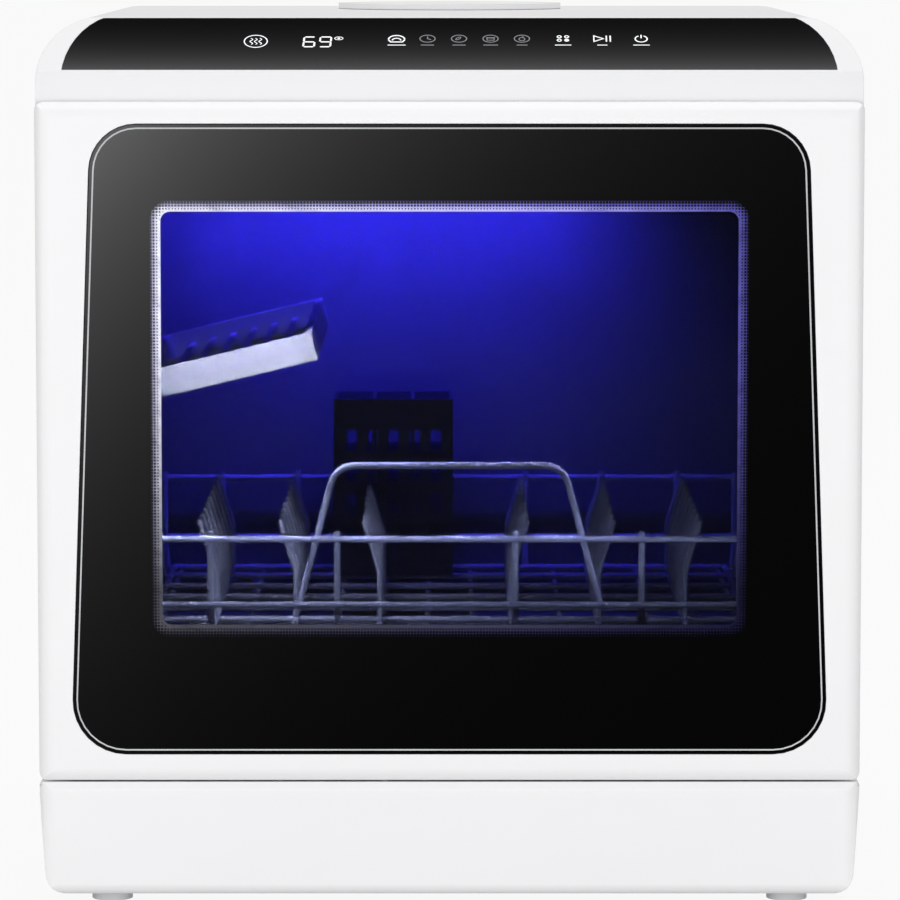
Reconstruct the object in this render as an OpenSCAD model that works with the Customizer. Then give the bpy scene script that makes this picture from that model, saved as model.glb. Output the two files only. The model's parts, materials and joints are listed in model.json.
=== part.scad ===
// Countertop dishwasher: a glass drop-down door, a sliding wire rack, and a tank that is filled from the top.
// Origin: on the table under the middle of the case. +Z is up, the door faces -Y and +X is to the right.

/* [Case] */
// Width of the case
case_w = 422; // [420:1:424]
// Depth of the case, without the hose tails at the back
case_d = 415; // [415:1:418]
// Height of the flat top above the table
case_h = 455; // [454:1:457]
// Radius of the two long top edges
case_r = 30; // [28:1:31]
// Height of the feet
foot_h = 6; // [5:0.5:7]
// Height of the plinth's top edge above the table
plinth_h = 62; // [61:0.5:62.5]

/* [Door] */
// Thickness of the door
door_t = 38; // [37.5:0.5:38.5]
// Height of the door's lower edge above the table
door_low = 65.4; // [65.2:0.1:65.8]
// Height of the door's upper lip above the table
door_high = 413; // [412:0.5:413.5]
// How far the door drops open, in degrees
door_swing = 90; // [60:5:90]

/* [Tub] */
// Clear width inside the tub
tub_w = 364; // [362:1:366]
// Height of the tub floor above the table
tub_low = 104; // [103:0.5:105]
// Height of the tub ceiling above the table
tub_high = 394; // [392:0.5:394]

/* [Rack] */
// Diameter of the frame wires
wire_d = 3.6; // [3.2:0.2:3.8]
// Diameter of the tines and the floor wires
tine_d = 3; // [2.6:0.2:3.2]
// Height of the upper rail above the table
rail_high = 182.3; // [178:0.1:186]
// Height of the lower rail above the table
rail_low = 147.6; // [146:0.1:149]
// Tilt of the cup shelf, in degrees
shelf_tilt = 13.5; // [10:0.5:16]

/* [Filling] */
// Diameter of the lid over the filling port
lid_d = 126; // [120:1:128]

/* [Hidden] */

// Exact rounds are drawn with this many segments in a preview
$fn = 48;
// How far a cutting shape runs past the face it cuts
cut = 1;
// Wall of the outer shells
shell_t = 3;
// Running clearance between a pin and its bore, on the radius
run_gap = 0.05;

// Case
tail_l = 20;
base_floor_z = foot_h + shell_t;
foot_d = 21;
foot_x = 175;
foot_y = [-190, 165];
half_w = case_w / 2;
front_y = -(case_d + tail_l) / 2;
back_y = front_y + case_d;
inner_back_y = back_y - shell_t;
side_t = 2.5;
panel_front_y = front_y + door_t - 1.5;
cover_low = 425;
fascia_low = 409.5;
back_flap_low = 405;
plinth_taper = 4;
plinth_r = 12;
edge_r = 9;
sill_z = [plinth_h - 1.2, plinth_h + 2.6];
sill_y = [front_y + 3.3, front_y + 4.5];

// Sloping control face, from its lower front edge up to the flat top
slope_a = 33;
slope_low = [front_y + 19.5, case_h - 27];
slope_l = (case_h - slope_low.y) / sin(slope_a);
panel_s = [8, slope_l - 8];
glass_panel_t = 1.8;
glass_panel_inset = 13;
carrier_w = 300;
carrier_t = 4.6;
board_t = 1.6;
case_screw_spots = [for (x = [-190, -60, 60, 190], z = [80, 395]) [x, z]];
case_screw_d = 3;

// Door
door_back_y = front_y + door_t;
frame_back_y = door_back_y - shell_t;
hinge_in = 12;
hinge_up = 17.1;
hinge_pos = [front_y + hinge_in, door_low + hinge_up];
hinge_eye_d = 11.6;
bracket_t = 2.8;
hinge_pin_d = 8;
hinge_arm_x = [190, 196];
lip_y = front_y + 16;
door_step_z = door_high - 7;
door_corner_r = 5;
door_bottom_r = 8;
door_heel_r = 15;
door_chamfer = [3.5, 3];
glass_t = 4;
glass_low = 79.3;
glass_high = 402.3;
glass_half_low = 194;
glass_half_high = 182.3;
glass_sink = 0.2;
guide_box = [-152.5, 139, 152.5, 364];
window_box = [-147, 145.7, 147, 357.5];
window_r = 5;
guide_t = 2;
dish_box = [-176, 100, 176, 392];
dish_depth = 12;
pane_box = [-152, 138, 152, 364];
liner_box = [-185.6, 80, 185.6, 405];
door_screw_spots = [for (x = [-181, 181], z = [110, 246, 382]) [x, z]];
door_screw_d = 2.6;
door_screw_head = 5.2;
latch_z = 399;
latch_t = 4;
latch_half_w = 12;
latch_reach = 14;
latch_room = [14, latch_z - 1.5, latch_z + 9.5];
cup_face_y = frame_back_y - dish_depth + shell_t;
cup_box = [[60, cup_face_y - 15, 104], [92, cup_face_y, 132]];
cup_wall = 2;
cup_lid_t = 2.4;
cup_lid_travel = 30;

// Tub
tub_half = tub_w / 2;
tub_t = 2;
frame_front_y = door_back_y + 3.5;
tub_front_y = frame_front_y + 3;
tub_back_y = 158;
arm_centre = [0, -5];
sump_centre = [80, -100];
sump_r = 45;
filter_r = 37.5;
lamp_half_w = 90;

// Water works
hub_r = 13;
spindle_r = 6;
duct_d = 18;
feed_r = 7;
feed_high = 412;
wash_pump_at = [-60, 50];
wash_pump_y = [40, 60, 140];
wash_pump_d = 58;
drain_at = [120, 40];
drain_pump_y = [70, 140];
drain_pump_d = 44;
drain_d = 18;
heater_at = [[-27, 50, 50], [50, 50, 50]];
heater_d = 28;
inlet_at = [163, 40];
inlet_d = 20.9;
inlet_neck_d = 17;
gland_at = [-170, 40];
gland_d = 17.6;
cord_d = 8;

// Rack
rack_front_y = -150;
rack_back_y = 150;
rack_half = 168;
floor_front_y = -128;
floor_half = 160;
floor_z = 128;
cross_z = floor_z + 2.8;
carrier_z = cross_z + wire_d;
fence_weld = 0.8 * wire_d;
floor_back_y = rack_back_y - 8;
upright_top = 4.2;
upright_x = [-125.4, -59, 34.5, 100.8];
hoop_half_low = 79.5;
hoop_half_high = 59.7;
hoop_top = 220.7;
hoop_r = 14;
weld_run = 1;
bend_extra = 0.3;
tine_knee = 160;
tine_top = 188;
tine_lean = 8.5;
tine_pitch = 28;
tine_first_y = -112;
plate_tine_x = [-124.6, -81.7, -37.1];
glass_tine_x = [33, 79, 125];
shelf_pivot = [-rack_half, 259.5];
shelf_l = 100;
shelf_y = [-140, 110];
shelf_post_y = [-120, 90];
shelf_bar = [4, 15];
shelf_rod_d = 5;
basket_box = [[-66, 88, 132.8], [2, 142, 233.7]];
basket_t = 2;
glide_z = [116.3, 131.7];

// Filling port, tank and drying fan
port_centre = [0, 106.5];
port_r = 59;
lid_t = 3;
lid_axis = [port_centre.y + lid_d / 2 + 3, case_h + 0.4];
lid_pin_d = 2.4;
lid_knuckle_half = 14;
lid_knuckle_d = 4.4;
lid_pin_half = lid_knuckle_half + 6;
lid_ear_d = 5.2;
tank_box = [[-150, 163, 90], [172, 192, 390]];
tank_wall = 2.5;
neck_box = [[-18, 169], [18, 185]];
tank_stub = [-120, 118];
tank_stub_d = 16;
funnel_low = 410;
fan_centre = [110, 182, 428];
fan_r = 21;
fan_half = 24;
fan_shaft_d = 3;

// Unit vector along v
function unit(v) = v / norm(v);

// Outline with rounded corners, from corners given as [x, y, radius]
function fillet(corners, steps = 6) = [
    for (i = [0 : len(corners) - 1])
        let (
            count = len(corners),
            corner = [corners[i].x, corners[i].y],
            r = corners[i][2],
            before = [corners[(i + count - 1) % count].x, corners[(i + count - 1) % count].y],
            after = [corners[(i + 1) % count].x, corners[(i + 1) % count].y],
            u = unit(before - corner),
            v = unit(after - corner),
            half = acos(u * v) / 2,
            centre = corner + unit(u + v) * r / sin(half),
            start = corner + u * r / tan(half) - centre,
            finish = corner + v * r / tan(half) - centre,
            a = atan2(start.y, start.x),
            turn = atan2(start.x * finish.y - start.y * finish.x, start * finish)
        )
        each (r == 0 ? [corner] : [
            for (k = [0 : steps])
                centre + r * [cos(a + turn * k / steps), sin(a + turn * k / steps)]
        ])
];

// Rounded rectangle outline from a box given as [left, low, right, high]
function round_box(b, r) = fillet([[b[0], b[1], r], [b[2], b[1], r], [b[2], b[3], r], [b[0], b[3], r]]);

// Point on the control slope: s runs up the slope and n stands out of it
function on_slope(s, n) =
    slope_low + s * [cos(slope_a), sin(slope_a)] + n * [-sin(slope_a), cos(slope_a)];

// Front outline of the case, brought in by an inset
function loaf(inset, top, low, r) = fillet([
    [-half_w + inset, low, 0], [half_w - inset, low, 0],
    [half_w - inset, top, r], [-half_w + inset, top, r]
], 10);

// Outline of the door glass, wider at the foot than at the head
function glass_outline(inset) = fillet([
    [-glass_half_low + inset, glass_low + inset, 27.5 - inset],
    [glass_half_low - inset, glass_low + inset, 27.5 - inset],
    [glass_half_high - inset, glass_high - inset, 24.5 - inset],
    [-glass_half_high + inset, glass_high - inset, 24.5 - inset]
], 8);

// Box between two opposite corners
module box(low, high) {
    translate(low) cube(high - low);
}

// Outline in the XZ plane, drawn out from y0 to y1
module slab_xz(points, y0, y1) {
    translate([0, y1, 0]) rotate([90, 0, 0]) linear_extrude(y1 - y0) polygon(points);
}

// Outline in the YZ plane, drawn out from x0 to x1
module slab_yz(points, x0, x1) {
    translate([x0, 0, 0]) rotate([90, 0, 90]) linear_extrude(x1 - x0) polygon(points);
}

// Outline in the XY plane, drawn out from z0 to z1
module slab_xy(points, z0, z1) {
    translate([0, 0, z0]) linear_extrude(z1 - z0) polygon(points);
}

// Flat ring between two rounded rectangles, standing in the XZ plane
module slab_ring(outer, inner, r, y0, y1) {
    difference() {
        slab_xz(round_box(outer, r), y0, y1);
        slab_xz(round_box(inner, r / 2), y0 - cut, y1 + cut);
    }
}

// Round rod from point a to point b
module rod(a, b, d) {
    v = b - a;
    translate(a) rotate([0, acos(v.z / norm(v)), atan2(v.y, v.x)]) cylinder(h = norm(v), d = d);
}

// Round wire along a list of points: each length runs a little past its bends, so the lengths weld together
module wire(points, d, past = 0.12) {
    last = len(points) - 1;
    for (i = [0 : last - 1]) {
        step = past * d * unit(points[i + 1] - points[i]);
        from = i > 0 ? points[i] - step : points[i];
        to = i < last - 1 ? points[i + 1] + step : points[i + 1];
        rod(from, to, d);
    }
}

// Rod or pipe along a list of points, with ball elbows that stand a little proud
module pipe(points, d, proud = 1) {
    for (i = [0 : len(points) - 2]) rod(points[i], points[i + 1], d);
    for (i = [1 : 1 : len(points) - 2]) translate(points[i]) sphere(d = d + proud);
}

// Pair of mirror images, left and right
module both_sides() {
    children();
    mirror([1, 0, 0]) children();
}

// ---- Case ----

module plinth_block(inset, low, high) {
    slab_xz(fillet([
        [-half_w + inset, high, 0], [half_w - inset, high, 0],
        [half_w - plinth_taper - inset, low, plinth_r - inset],
        [-half_w + plinth_taper + inset, low, plinth_r - inset]
    ]), front_y + inset, back_y - inset);
}

module base_shell() {
    sill_half = half_w - 0.6;
    color("white") difference() {
        intersection() {
            union() {
                plinth_block(0, foot_h, plinth_h);
                box([-sill_half, front_y, plinth_h - 2], [sill_half, sill_y[1], sill_z[1]]);
            }
            slab_xy(fillet([
                [-half_w, front_y, edge_r], [half_w, front_y, edge_r],
                [half_w, back_y, 0], [-half_w, back_y, 0]
            ]), foot_h, sill_z[1]);
            slab_yz(fillet([
                [front_y, foot_h, 6], [back_y, foot_h, 0], [back_y, plinth_h, 0], [sill_y[1], plinth_h, 0],
                [sill_y[1], sill_z[1], 0.4], [sill_y[0], sill_z[1], 0.6], [front_y, sill_z[0], shell_t]
            ]), -half_w, half_w);
        }
        intersection() {
            plinth_block(shell_t, foot_h + shell_t, plinth_h + cut);
            union() {
                box([-half_w, front_y, 0], [half_w, back_y, plinth_h - shell_t]);
                box([-half_w, tub_front_y, 0], [half_w, back_y, plinth_h + 2 * cut]);
            }
        }
        for (z = [24 : 6 : 48]) {
            box([-60, inner_back_y - cut, z], [20, back_y + cut, z + 3]);
        }
        for (hole = [[drain_at, drain_d], [inlet_at, inlet_neck_d], [gland_at, gland_d]]) {
            x = hole[0].x;
            z = hole[0].y;
            rod([x, inner_back_y - cut, z], [x, back_y + cut, z], hole[1] + 0.4);
        }
    }
}

module side_panel() {
    box([half_w - side_t, panel_front_y, plinth_h], [half_w, back_y, cover_low]);
}

module side_panel_left() {
    color("whitesmoke") mirror([1, 0, 0]) side_panel();
}

module side_panel_right() {
    color("whitesmoke") side_panel();
}

module back_panel() {
    color("gainsboro") difference() {
        box([-half_w + side_t, inner_back_y, plinth_h], [half_w - side_t, back_y, back_flap_low]);
        for (p = case_screw_spots) {
            rod([p.x, inner_back_y - cut, p.y], [p.x, back_y + cut, p.y], case_screw_d);
        }
    }
}

module case_screws() {
    color("silver") for (p = case_screw_spots) {
        rod([p.x, inner_back_y - 5, p.y], [p.x, back_y, p.y], case_screw_d);
        rod([p.x, back_y, p.y], [p.x, back_y + 1.7, p.y], 7);
    }
}

module control_glass_solid() {
    intersection() {
        slab_yz([
            on_slope(1.5, 0), on_slope(slope_l - 1, 0),
            on_slope(slope_l - 1, -glass_panel_t), on_slope(1.5, -glass_panel_t)
        ], -half_w, half_w);
        slab_xz(loaf(glass_panel_inset, case_h + 1.5, cover_low - 10, case_r), front_y, 0);
    }
}

// Prism that follows the control slope, between two heights above its face
module slope_prism(x0, x1, s0, s1, low, high) {
    slab_yz([on_slope(s0, high), on_slope(s1, high), on_slope(s1, low), on_slope(s0, low)], x0, x1);
}

module lid_ear() {
    x0 = lid_knuckle_half + 0.3;
    x1 = lid_pin_half;
    y = lid_axis.x;
    z = lid_axis.y;
    difference() {
        union() {
            box([x0, y - lid_ear_d / 2, case_h - shell_t], [x1, y + lid_ear_d / 2, z]);
            rod([x0, y, z], [x1, y, z], lid_ear_d);
        }
        rod([0, y, z], [2 * x1, y, z], lid_pin_d + 2 * run_gap);
    }
}

module top_cover_outside() {
    intersection() {
        slab_xz(loaf(0, case_h, back_flap_low - 5, case_r), front_y, back_y);
        slab_yz(fillet([
            [slope_low.x - 2, fascia_low, 1.5], [slope_low.x, slope_low.y, 2],
            [slope_low.x + slope_l * cos(slope_a), case_h, 5], [back_y, case_h, 2.5],
            [back_y, back_flap_low, 0], [inner_back_y, back_flap_low, 0],
            [inner_back_y, cover_low, 0], [frame_front_y, cover_low, 0],
            [frame_front_y, fascia_low, 0]
        ]), -half_w, half_w);
    }
}

module top_cover_inside() {
    deep = shell_t / cos(slope_a);
    inner_low = [slope_low.x + shell_t, slope_low.y + shell_t * tan(slope_a) - deep];
    inner_high = [slope_low.x + (case_h - shell_t - slope_low.y + deep) / tan(slope_a), case_h - shell_t];
    difference() {
        intersection() {
            slab_xz(loaf(shell_t, case_h - shell_t, back_flap_low - 10, case_r - shell_t), front_y, back_y);
            slab_yz([
                [slope_low.x + shell_t - 2, fascia_low + 2.5], inner_low, inner_high,
                [inner_back_y, case_h - shell_t], [inner_back_y, back_flap_low - 5],
                [frame_front_y, back_flap_low - 5], [frame_front_y, fascia_low + 2.5]
            ], -half_w, half_w);
        }
        box([-24, lid_axis.x - 3.9, case_h - 2 * shell_t], [24, lid_axis.x + 7.5, case_h]);
    }
}

module top_cover() {
    pocket_half = lid_knuckle_half + 7;
    fan_x = fan_centre.x;
    flap_low = back_flap_low - 6;
    color("white") difference() {
        top_cover_outside();
        top_cover_inside();
        control_glass_solid();
        slope_prism(-carrier_w / 2, carrier_w / 2, panel_s[0], panel_s[1], -shell_t - cut, 0);
        translate([port_centre.x, port_centre.y, case_h - 10]) cylinder(h = 20, r = port_r);
        box([-pocket_half, lid_axis.x - 3.5, case_h - shell_t], [pocket_half, lid_axis.x + 4, case_h + cut]);
        for (z = [411 : 6 : 441]) {
            box([fan_x - 20, inner_back_y - cut, z], [fan_x + 20, back_y + cut, z + 3]);
        }
        both_sides() box([half_w - side_t, panel_front_y, flap_low], [half_w + cut, back_y + cut, cover_low]);
    }
    color("white") both_sides() lid_ear();
}

module control_glass() {
    color("black") control_glass_solid();
}

module key_carrier() {
    half = carrier_w / 2;
    color("dimgray")
        slope_prism(-half, half, panel_s[0], panel_s[1], -glass_panel_t - carrier_t, -glass_panel_t);
}

// Circuit board under the key carrier, with the box of its display
module control_board() {
    half = carrier_w / 2;
    high = -glass_panel_t - carrier_t;
    low = high - board_t;
    color("seagreen") slope_prism(-half, half, panel_s[0] - 2, panel_s[1] + 2, low, high);
    color("black") slope_prism(-80, -50, 16, 34, low - 6, low);
}

module feet() {
    color("dimgray") for (x = [-foot_x, foot_x], y = foot_y) {
        translate([x, y, 0]) cylinder(h = foot_h, d = foot_d);
    }
}

// ---- Tub ----

module tub_floor() {
    half = tub_half + tub_t;
    color("lightgray") difference() {
        box([-half, tub_front_y, tub_low - tub_t], [half, tub_back_y + tub_t, tub_low]);
        translate([sump_centre.x, sump_centre.y, tub_low - 5]) cylinder(h = 10, r = filter_r + 0.5);
        translate([arm_centre.x, arm_centre.y, tub_low - 5]) cylinder(h = 10, r = hub_r + 0.1);
    }
}

module tub_side() {
    box([tub_half, tub_front_y, tub_low], [tub_half + tub_t, tub_back_y + tub_t, tub_high + tub_t]);
}

module tub_side_left() {
    color("lightgray") mirror([1, 0, 0]) tub_side();
}

module tub_side_right() {
    color("lightgray") tub_side();
}

module tub_ceiling() {
    color("lightgray") difference() {
        box([-tub_half, tub_front_y, tub_high], [tub_half, tub_back_y + tub_t, tub_high + tub_t]);
        translate([arm_centre.x, arm_centre.y, tub_high - 5]) cylinder(h = 10, r = feed_r + 0.1);
        for (y = [124 : 7 : 145]) {
            box([fan_centre.x - 18, y, tub_high - cut], [fan_centre.x + 18, y + 4, tub_high + 3]);
        }
    }
}

module tub_back_wall() {
    x = tank_stub.x;
    z = tank_stub.y;
    color("lightgray") difference() {
        box([-tub_half, tub_back_y, tub_low], [tub_half, tub_back_y + tub_t, tub_high]);
        rod([x, tub_back_y - cut, z], [x, tub_back_y + 5, z], tank_stub_d);
    }
}

module front_frame() {
    frame_half = half_w - side_t;
    latch_x = latch_room[0];
    color("white") difference() {
        box([-frame_half, frame_front_y, plinth_h], [frame_half, tub_front_y, cover_low - 1]);
        box([-tub_half, frame_front_y - cut, tub_low], [tub_half, tub_front_y + cut, tub_high]);
        box([-latch_x, frame_front_y - cut, latch_room[1]], [latch_x, tub_front_y + cut, latch_room[2]]);
    }
}

module door_gasket() {
    color("dimgray") slab_ring(
        [-tub_half - 3.5, tub_low - 4.5, tub_half + 3.5, tub_high + 3.2],
        [-tub_half, tub_low - 1, tub_half, tub_high],
        3, frame_front_y - 2.9, frame_front_y
    );
}

module rack_rail() {
    gap = 0.3;
    low = glide_z[0] - gap;
    high = glide_z[1] + gap;
    difference() {
        box([tub_half - 11, tub_front_y + 4, low - 2], [tub_half, tub_back_y - 2, high + 2]);
        box([tub_half - 12, tub_front_y, low], [tub_half - 1, tub_back_y - 5, high]);
    }
}

module rack_rails() {
    color("silver") both_sides() rack_rail();
}

module tub_lamp() {
    y0 = tub_front_y + 5;
    color("lightblue") box([-lamp_half_w, y0, tub_high - 6], [lamp_half_w, y0 + 10, tub_high]);
}

module latch_housing() {
    half = latch_room[0];
    color("dimgray") difference() {
        box([-20, tub_front_y, tub_high + tub_t], [20, tub_front_y + 24, 412]);
        box([-half, tub_front_y - cut, latch_room[1]], [half, tub_front_y + 16, latch_room[2]]);
    }
}

// Bracket on the front frame: a plate, and an arm that ends in the eye for the hinge pin
module hinge_bracket() {
    x0 = hinge_arm_x[0];
    x1 = hinge_arm_x[1];
    y = hinge_pos.x;
    z = hinge_pos.y;
    plate_y = frame_front_y - bracket_t;
    difference() {
        union() {
            box([x0 - 3, plate_y, 64], [x1 + 8, frame_front_y, 110]);
            box([x0, y, z - 5], [x1, plate_y, z + 5]);
            rod([x0, y, z], [x1, y, z], hinge_eye_d);
        }
        rod([x0 - 20, y, z], [x1 + 20, y, z], hinge_pin_d + 2 * run_gap);
    }
}

module hinge_brackets() {
    color("silver") both_sides() hinge_bracket();
}

// ---- Water works under and around the tub ----

module sump() {
    color("gray") difference() {
        translate([sump_centre.x, sump_centre.y, 56]) cylinder(h = tub_low - tub_t - 56, r = sump_r);
        translate([sump_centre.x, sump_centre.y, 59]) cylinder(h = 60, r = sump_r - 3);
    }
}

module filter() {
    color("lightgray") translate([sump_centre.x, sump_centre.y, 0]) difference() {
        union() {
            translate([0, 0, 64]) cylinder(h = 40, r = filter_r);
            translate([0, 0, tub_low]) cylinder(h = 1.6, r = sump_r);
        }
        translate([0, 0, 66]) cylinder(h = 60, r = filter_r - 2);
    }
    color("lightgray") translate([sump_centre.x, sump_centre.y, 0]) {
        box([-filter_r + 1, -2, 90], [filter_r - 1, 2, tub_low + 1.6]);
    }
}

// Pump housing that lies along Y on a pad on the base floor
module pump(at, y0, y1, d, pad) {
    rod([at.x, y0, at.y], [at.x, y1, at.y], d);
    box([at.x - pad / 2, y0 + 10, base_floor_z], [at.x + pad / 2, y1 - 10, at.y - d / 4]);
}

module wash_pump() {
    at = wash_pump_at;
    color("dimgray") {
        pump(at, wash_pump_y[1], wash_pump_y[2], wash_pump_d, 48);
        rod([at.x, wash_pump_y[0], at.y], [at.x, wash_pump_y[1], at.y], wash_pump_d + 8);
    }
}

module drain_pump() {
    color("dimgray") pump(drain_at, drain_pump_y[0], drain_pump_y[1], drain_pump_d, 28);
}

module heater() {
    color("silver") rod(heater_at[0], heater_at[1], heater_d);
}

module spray_hub() {
    arm_low = 110;
    arm_high = 120.5;
    color("gray") translate([arm_centre.x, arm_centre.y, 0]) {
        translate([0, 0, 60]) cylinder(h = arm_low - 3 - 60, r = hub_r);
        translate([0, 0, arm_low - 10]) cylinder(h = arm_high - arm_low + 10, r = spindle_r);
        translate([0, 0, arm_high]) cylinder(h = 2, r = spindle_r + 3);
    }
}

// Ducts from the sump to the wash pump, from the heater to the lower arm, and from the sump to the drain pump
module wash_ducts() {
    heater_end = heater_at[1];
    pump_in = [wash_pump_at.x, wash_pump_y[0], wash_pump_at.y];
    drain_in = [drain_at.x, drain_pump_y[0], drain_at.y];
    drain_x = 150;
    color("darkgray") {
        pipe([
            [sump_centre.x - sump_r, sump_centre.y, 72], [pump_in.x, sump_centre.y, 72],
            [pump_in.x, sump_centre.y, pump_in.z], pump_in
        ], duct_d);
        pipe([
            heater_end, heater_end + [16, 0, 0], [heater_end.x + 16, arm_centre.y, heater_end.z],
            [arm_centre.x, arm_centre.y, heater_end.z], [arm_centre.x, arm_centre.y, 60]
        ], duct_d);
        pipe([
            [sump_centre.x + sump_r, sump_centre.y, 66], [drain_x, sump_centre.y, 66], [drain_x, 40, 66],
            [drain_x, 40, drain_in.z], [drain_in.x, 40, drain_in.z], drain_in
        ], 12);
    }
}

// Pipe from the wash pump round the outside of the tub to the upper arm's spindle
module feed_pipe() {
    run_x = -tub_half - 14;
    pump_side = wash_pump_at.x - wash_pump_d / 2 - 4;
    heater_z = heater_at[0].z;
    heater_y = heater_at[0].y;
    arm_low = 373;
    color("darkgray") {
        pipe([
            [pump_side, heater_y, heater_z], [run_x, heater_y, heater_z], [run_x, heater_y, feed_high],
            [run_x, arm_centre.y, feed_high], [arm_centre.x, arm_centre.y, feed_high],
            [arm_centre.x, arm_centre.y, arm_low + 13]
        ], 2 * feed_r);
        translate([arm_centre.x, arm_centre.y, arm_low]) cylinder(h = 14, r = spindle_r);
        translate([arm_centre.x, arm_centre.y, arm_low - 2]) cylinder(h = 2, r = spindle_r + 3);
    }
}

module water_tank() {
    wall = [tank_wall, tank_wall, tank_wall];
    low = tank_box[0];
    high = tank_box[1];
    inside_y = low.y + tank_wall;
    x = tank_stub.x;
    z = tank_stub.y;
    color("lightblue") difference() {
        union() {
            box(low, high);
            rod([x, tub_back_y, z], [x, inside_y, z], tank_stub_d);
        }
        box(low + wall, high - wall);
        box([neck_box[0].x, neck_box[0].y, high.z - 10], [neck_box[1].x, neck_box[1].y, high.z + cut]);
        rod([x, tub_back_y - cut, z], [x, inside_y + cut, z], tank_stub_d - 5);
    }
}

// Round bowl under the port, with a covered channel back to a flat neck that reaches down into the tank
module fill_funnel() {
    wall = tank_wall;
    low = funnel_low + wall;
    bowl_h = case_h - shell_t - funnel_low;
    half = 22;
    channel_back = 191;
    channel_high = 436;
    neck_low = tank_box[1].z - wall;
    c = port_centre;
    color("white") difference() {
        union() {
            translate([c.x, c.y, funnel_low]) cylinder(h = bowl_h, r = port_r + wall);
            box([-half, c.y, funnel_low], [half, channel_back, channel_high]);
            box([neck_box[0].x, neck_box[0].y, neck_low], [neck_box[1].x, neck_box[1].y, funnel_low + cut]);
        }
        translate([c.x, c.y, low]) cylinder(h = bowl_h, r = port_r);
        box([-half + wall, c.y, low], [half - wall, channel_back - wall, channel_high - wall]);
        box(
            [neck_box[0].x + wall, neck_box[0].y + wall, neck_low - cut],
            [neck_box[1].x - wall, neck_box[1].y - wall, low + cut]
        );
    }
}

module inlet_valve() {
    x = inlet_at.x;
    z = inlet_at.y;
    riser_y = 178;
    color("dimgray") {
        box([x - 13, 165, base_floor_z], [x + 13, inner_back_y, plinth_h]);
        rod([x, riser_y, plinth_h - 2], [x, riser_y, tank_box[0].z], 14);
        difference() {
            union() {
                rod([x, inner_back_y, z], [x, back_y + 2, z], inlet_neck_d);
                rod([x, back_y + 1, z], [x, back_y + tail_l, z], inlet_d);
            }
            rod([x, back_y, z], [x, back_y + tail_l + cut, z], 12);
        }
    }
}

module drain_spigot() {
    x = drain_at.x;
    z = drain_at.y;
    color("dimgray") difference() {
        union() {
            rod([x, drain_pump_y[1], z], [x, back_y + tail_l, z], drain_d);
            for (k = [1 : 3]) rod([x, back_y + 4 * k, z], [x, back_y + 4 * k + 2, z], drain_d + 0.6);
        }
        rod([x, drain_pump_y[1] + 10, z], [x, back_y + tail_l + cut, z], drain_d - 5);
    }
}

module power_gland() {
    x = gland_at.x;
    z = gland_at.y;
    color("dimgray") difference() {
        union() {
            rod([x, inner_back_y - 8, z], [x, back_y + 6, z], gland_d);
            rod([x, back_y, z], [x, back_y + 4, z], 24);
        }
        rod([x, inner_back_y - 10, z], [x, back_y + 10, z], cord_d);
    }
}

// Square fan body with a bearing spider, and the duct that brings it air from the tub
module fan_housing() {
    c = fan_centre;
    front = c.y - 8;
    high = c.z + fan_half - 1;
    duct_front = 120;
    duct_wall = 2;
    duct_half = fan_half - duct_wall;
    bar = 1.5;
    color("dimgray") {
        difference() {
            box([c.x - fan_half, front, c.z - fan_half], [c.x + fan_half, inner_back_y, high]);
            rod([c.x, front - 2, c.z], [c.x, back_y, c.z], 2 * fan_r + 2);
        }
        difference() {
            union() {
                rod([c.x, c.y + 7, c.z], [c.x, c.y + 11, c.z], 14);
                for (a = [45 : 90 : 315]) {
                    translate([c.x, c.y + 9, c.z]) rotate([0, a, 0])
                        box([5, -bar, -bar], [fan_r + 2, bar, bar]);
                }
            }
            rod([c.x, c.y + 5, c.z], [c.x, c.y + 20, c.z], fan_shaft_d + 2 * run_gap);
        }
        difference() {
            box([c.x - fan_half, duct_front, tub_high + tub_t], [c.x + fan_half, front, high]);
            box(
                [c.x - duct_half, duct_front + duct_wall, tub_high],
                [c.x + duct_half, front + duct_wall, high - duct_wall]
            );
        }
    }
}

module fan_rotor() {
    c = fan_centre;
    color("black") {
        rod([c.x, c.y - 5, c.z], [c.x, c.y + 6, c.z], 16);
        rod([c.x, c.y, c.z], [c.x, c.y + 10.5, c.z], fan_shaft_d);
        for (a = [0 : 360 / 7 : 359]) {
            translate(c) rotate([0, a, 0]) rotate([35, 0, 0]) box([6, -0.6, -5], [fan_r - 0.8, 0.6, 5]);
        }
    }
}

// ---- Door ----

module door_block() {
    intersection() {
        slab_yz(fillet([
            [front_y, door_low + door_chamfer.y, door_bottom_r], [front_y + door_chamfer.x, door_low, 1.5],
            [frame_back_y, door_low, door_heel_r],
            [frame_back_y, door_step_z, 1.5], [lip_y, door_step_z, 0],
            [lip_y, door_high, 2], [front_y, door_high, edge_r]
        ]), -half_w, half_w);
        slab_xy(fillet([
            [-half_w, front_y, edge_r], [half_w, front_y, edge_r],
            [half_w, frame_back_y, 1.5], [-half_w, frame_back_y, 1.5]
        ]), door_low, door_high);
        slab_xz(round_box([-half_w, door_low, half_w, door_high], door_corner_r), front_y, frame_back_y);
    }
}

// Room in the door for the hinge brackets' arms and eyes
module hinge_pocket() {
    x0 = hinge_arm_x[0] - 1;
    x1 = hinge_arm_x[1] + 1;
    box([x0, hinge_pos.x - 6.5, door_low - cut], [x1, frame_back_y + cut, hinge_pos.y + 7]);
}

module hinge_pin() {
    rod([184, hinge_pos.x, hinge_pos.y], [204, hinge_pos.x, hinge_pos.y], hinge_pin_d);
}

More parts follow.
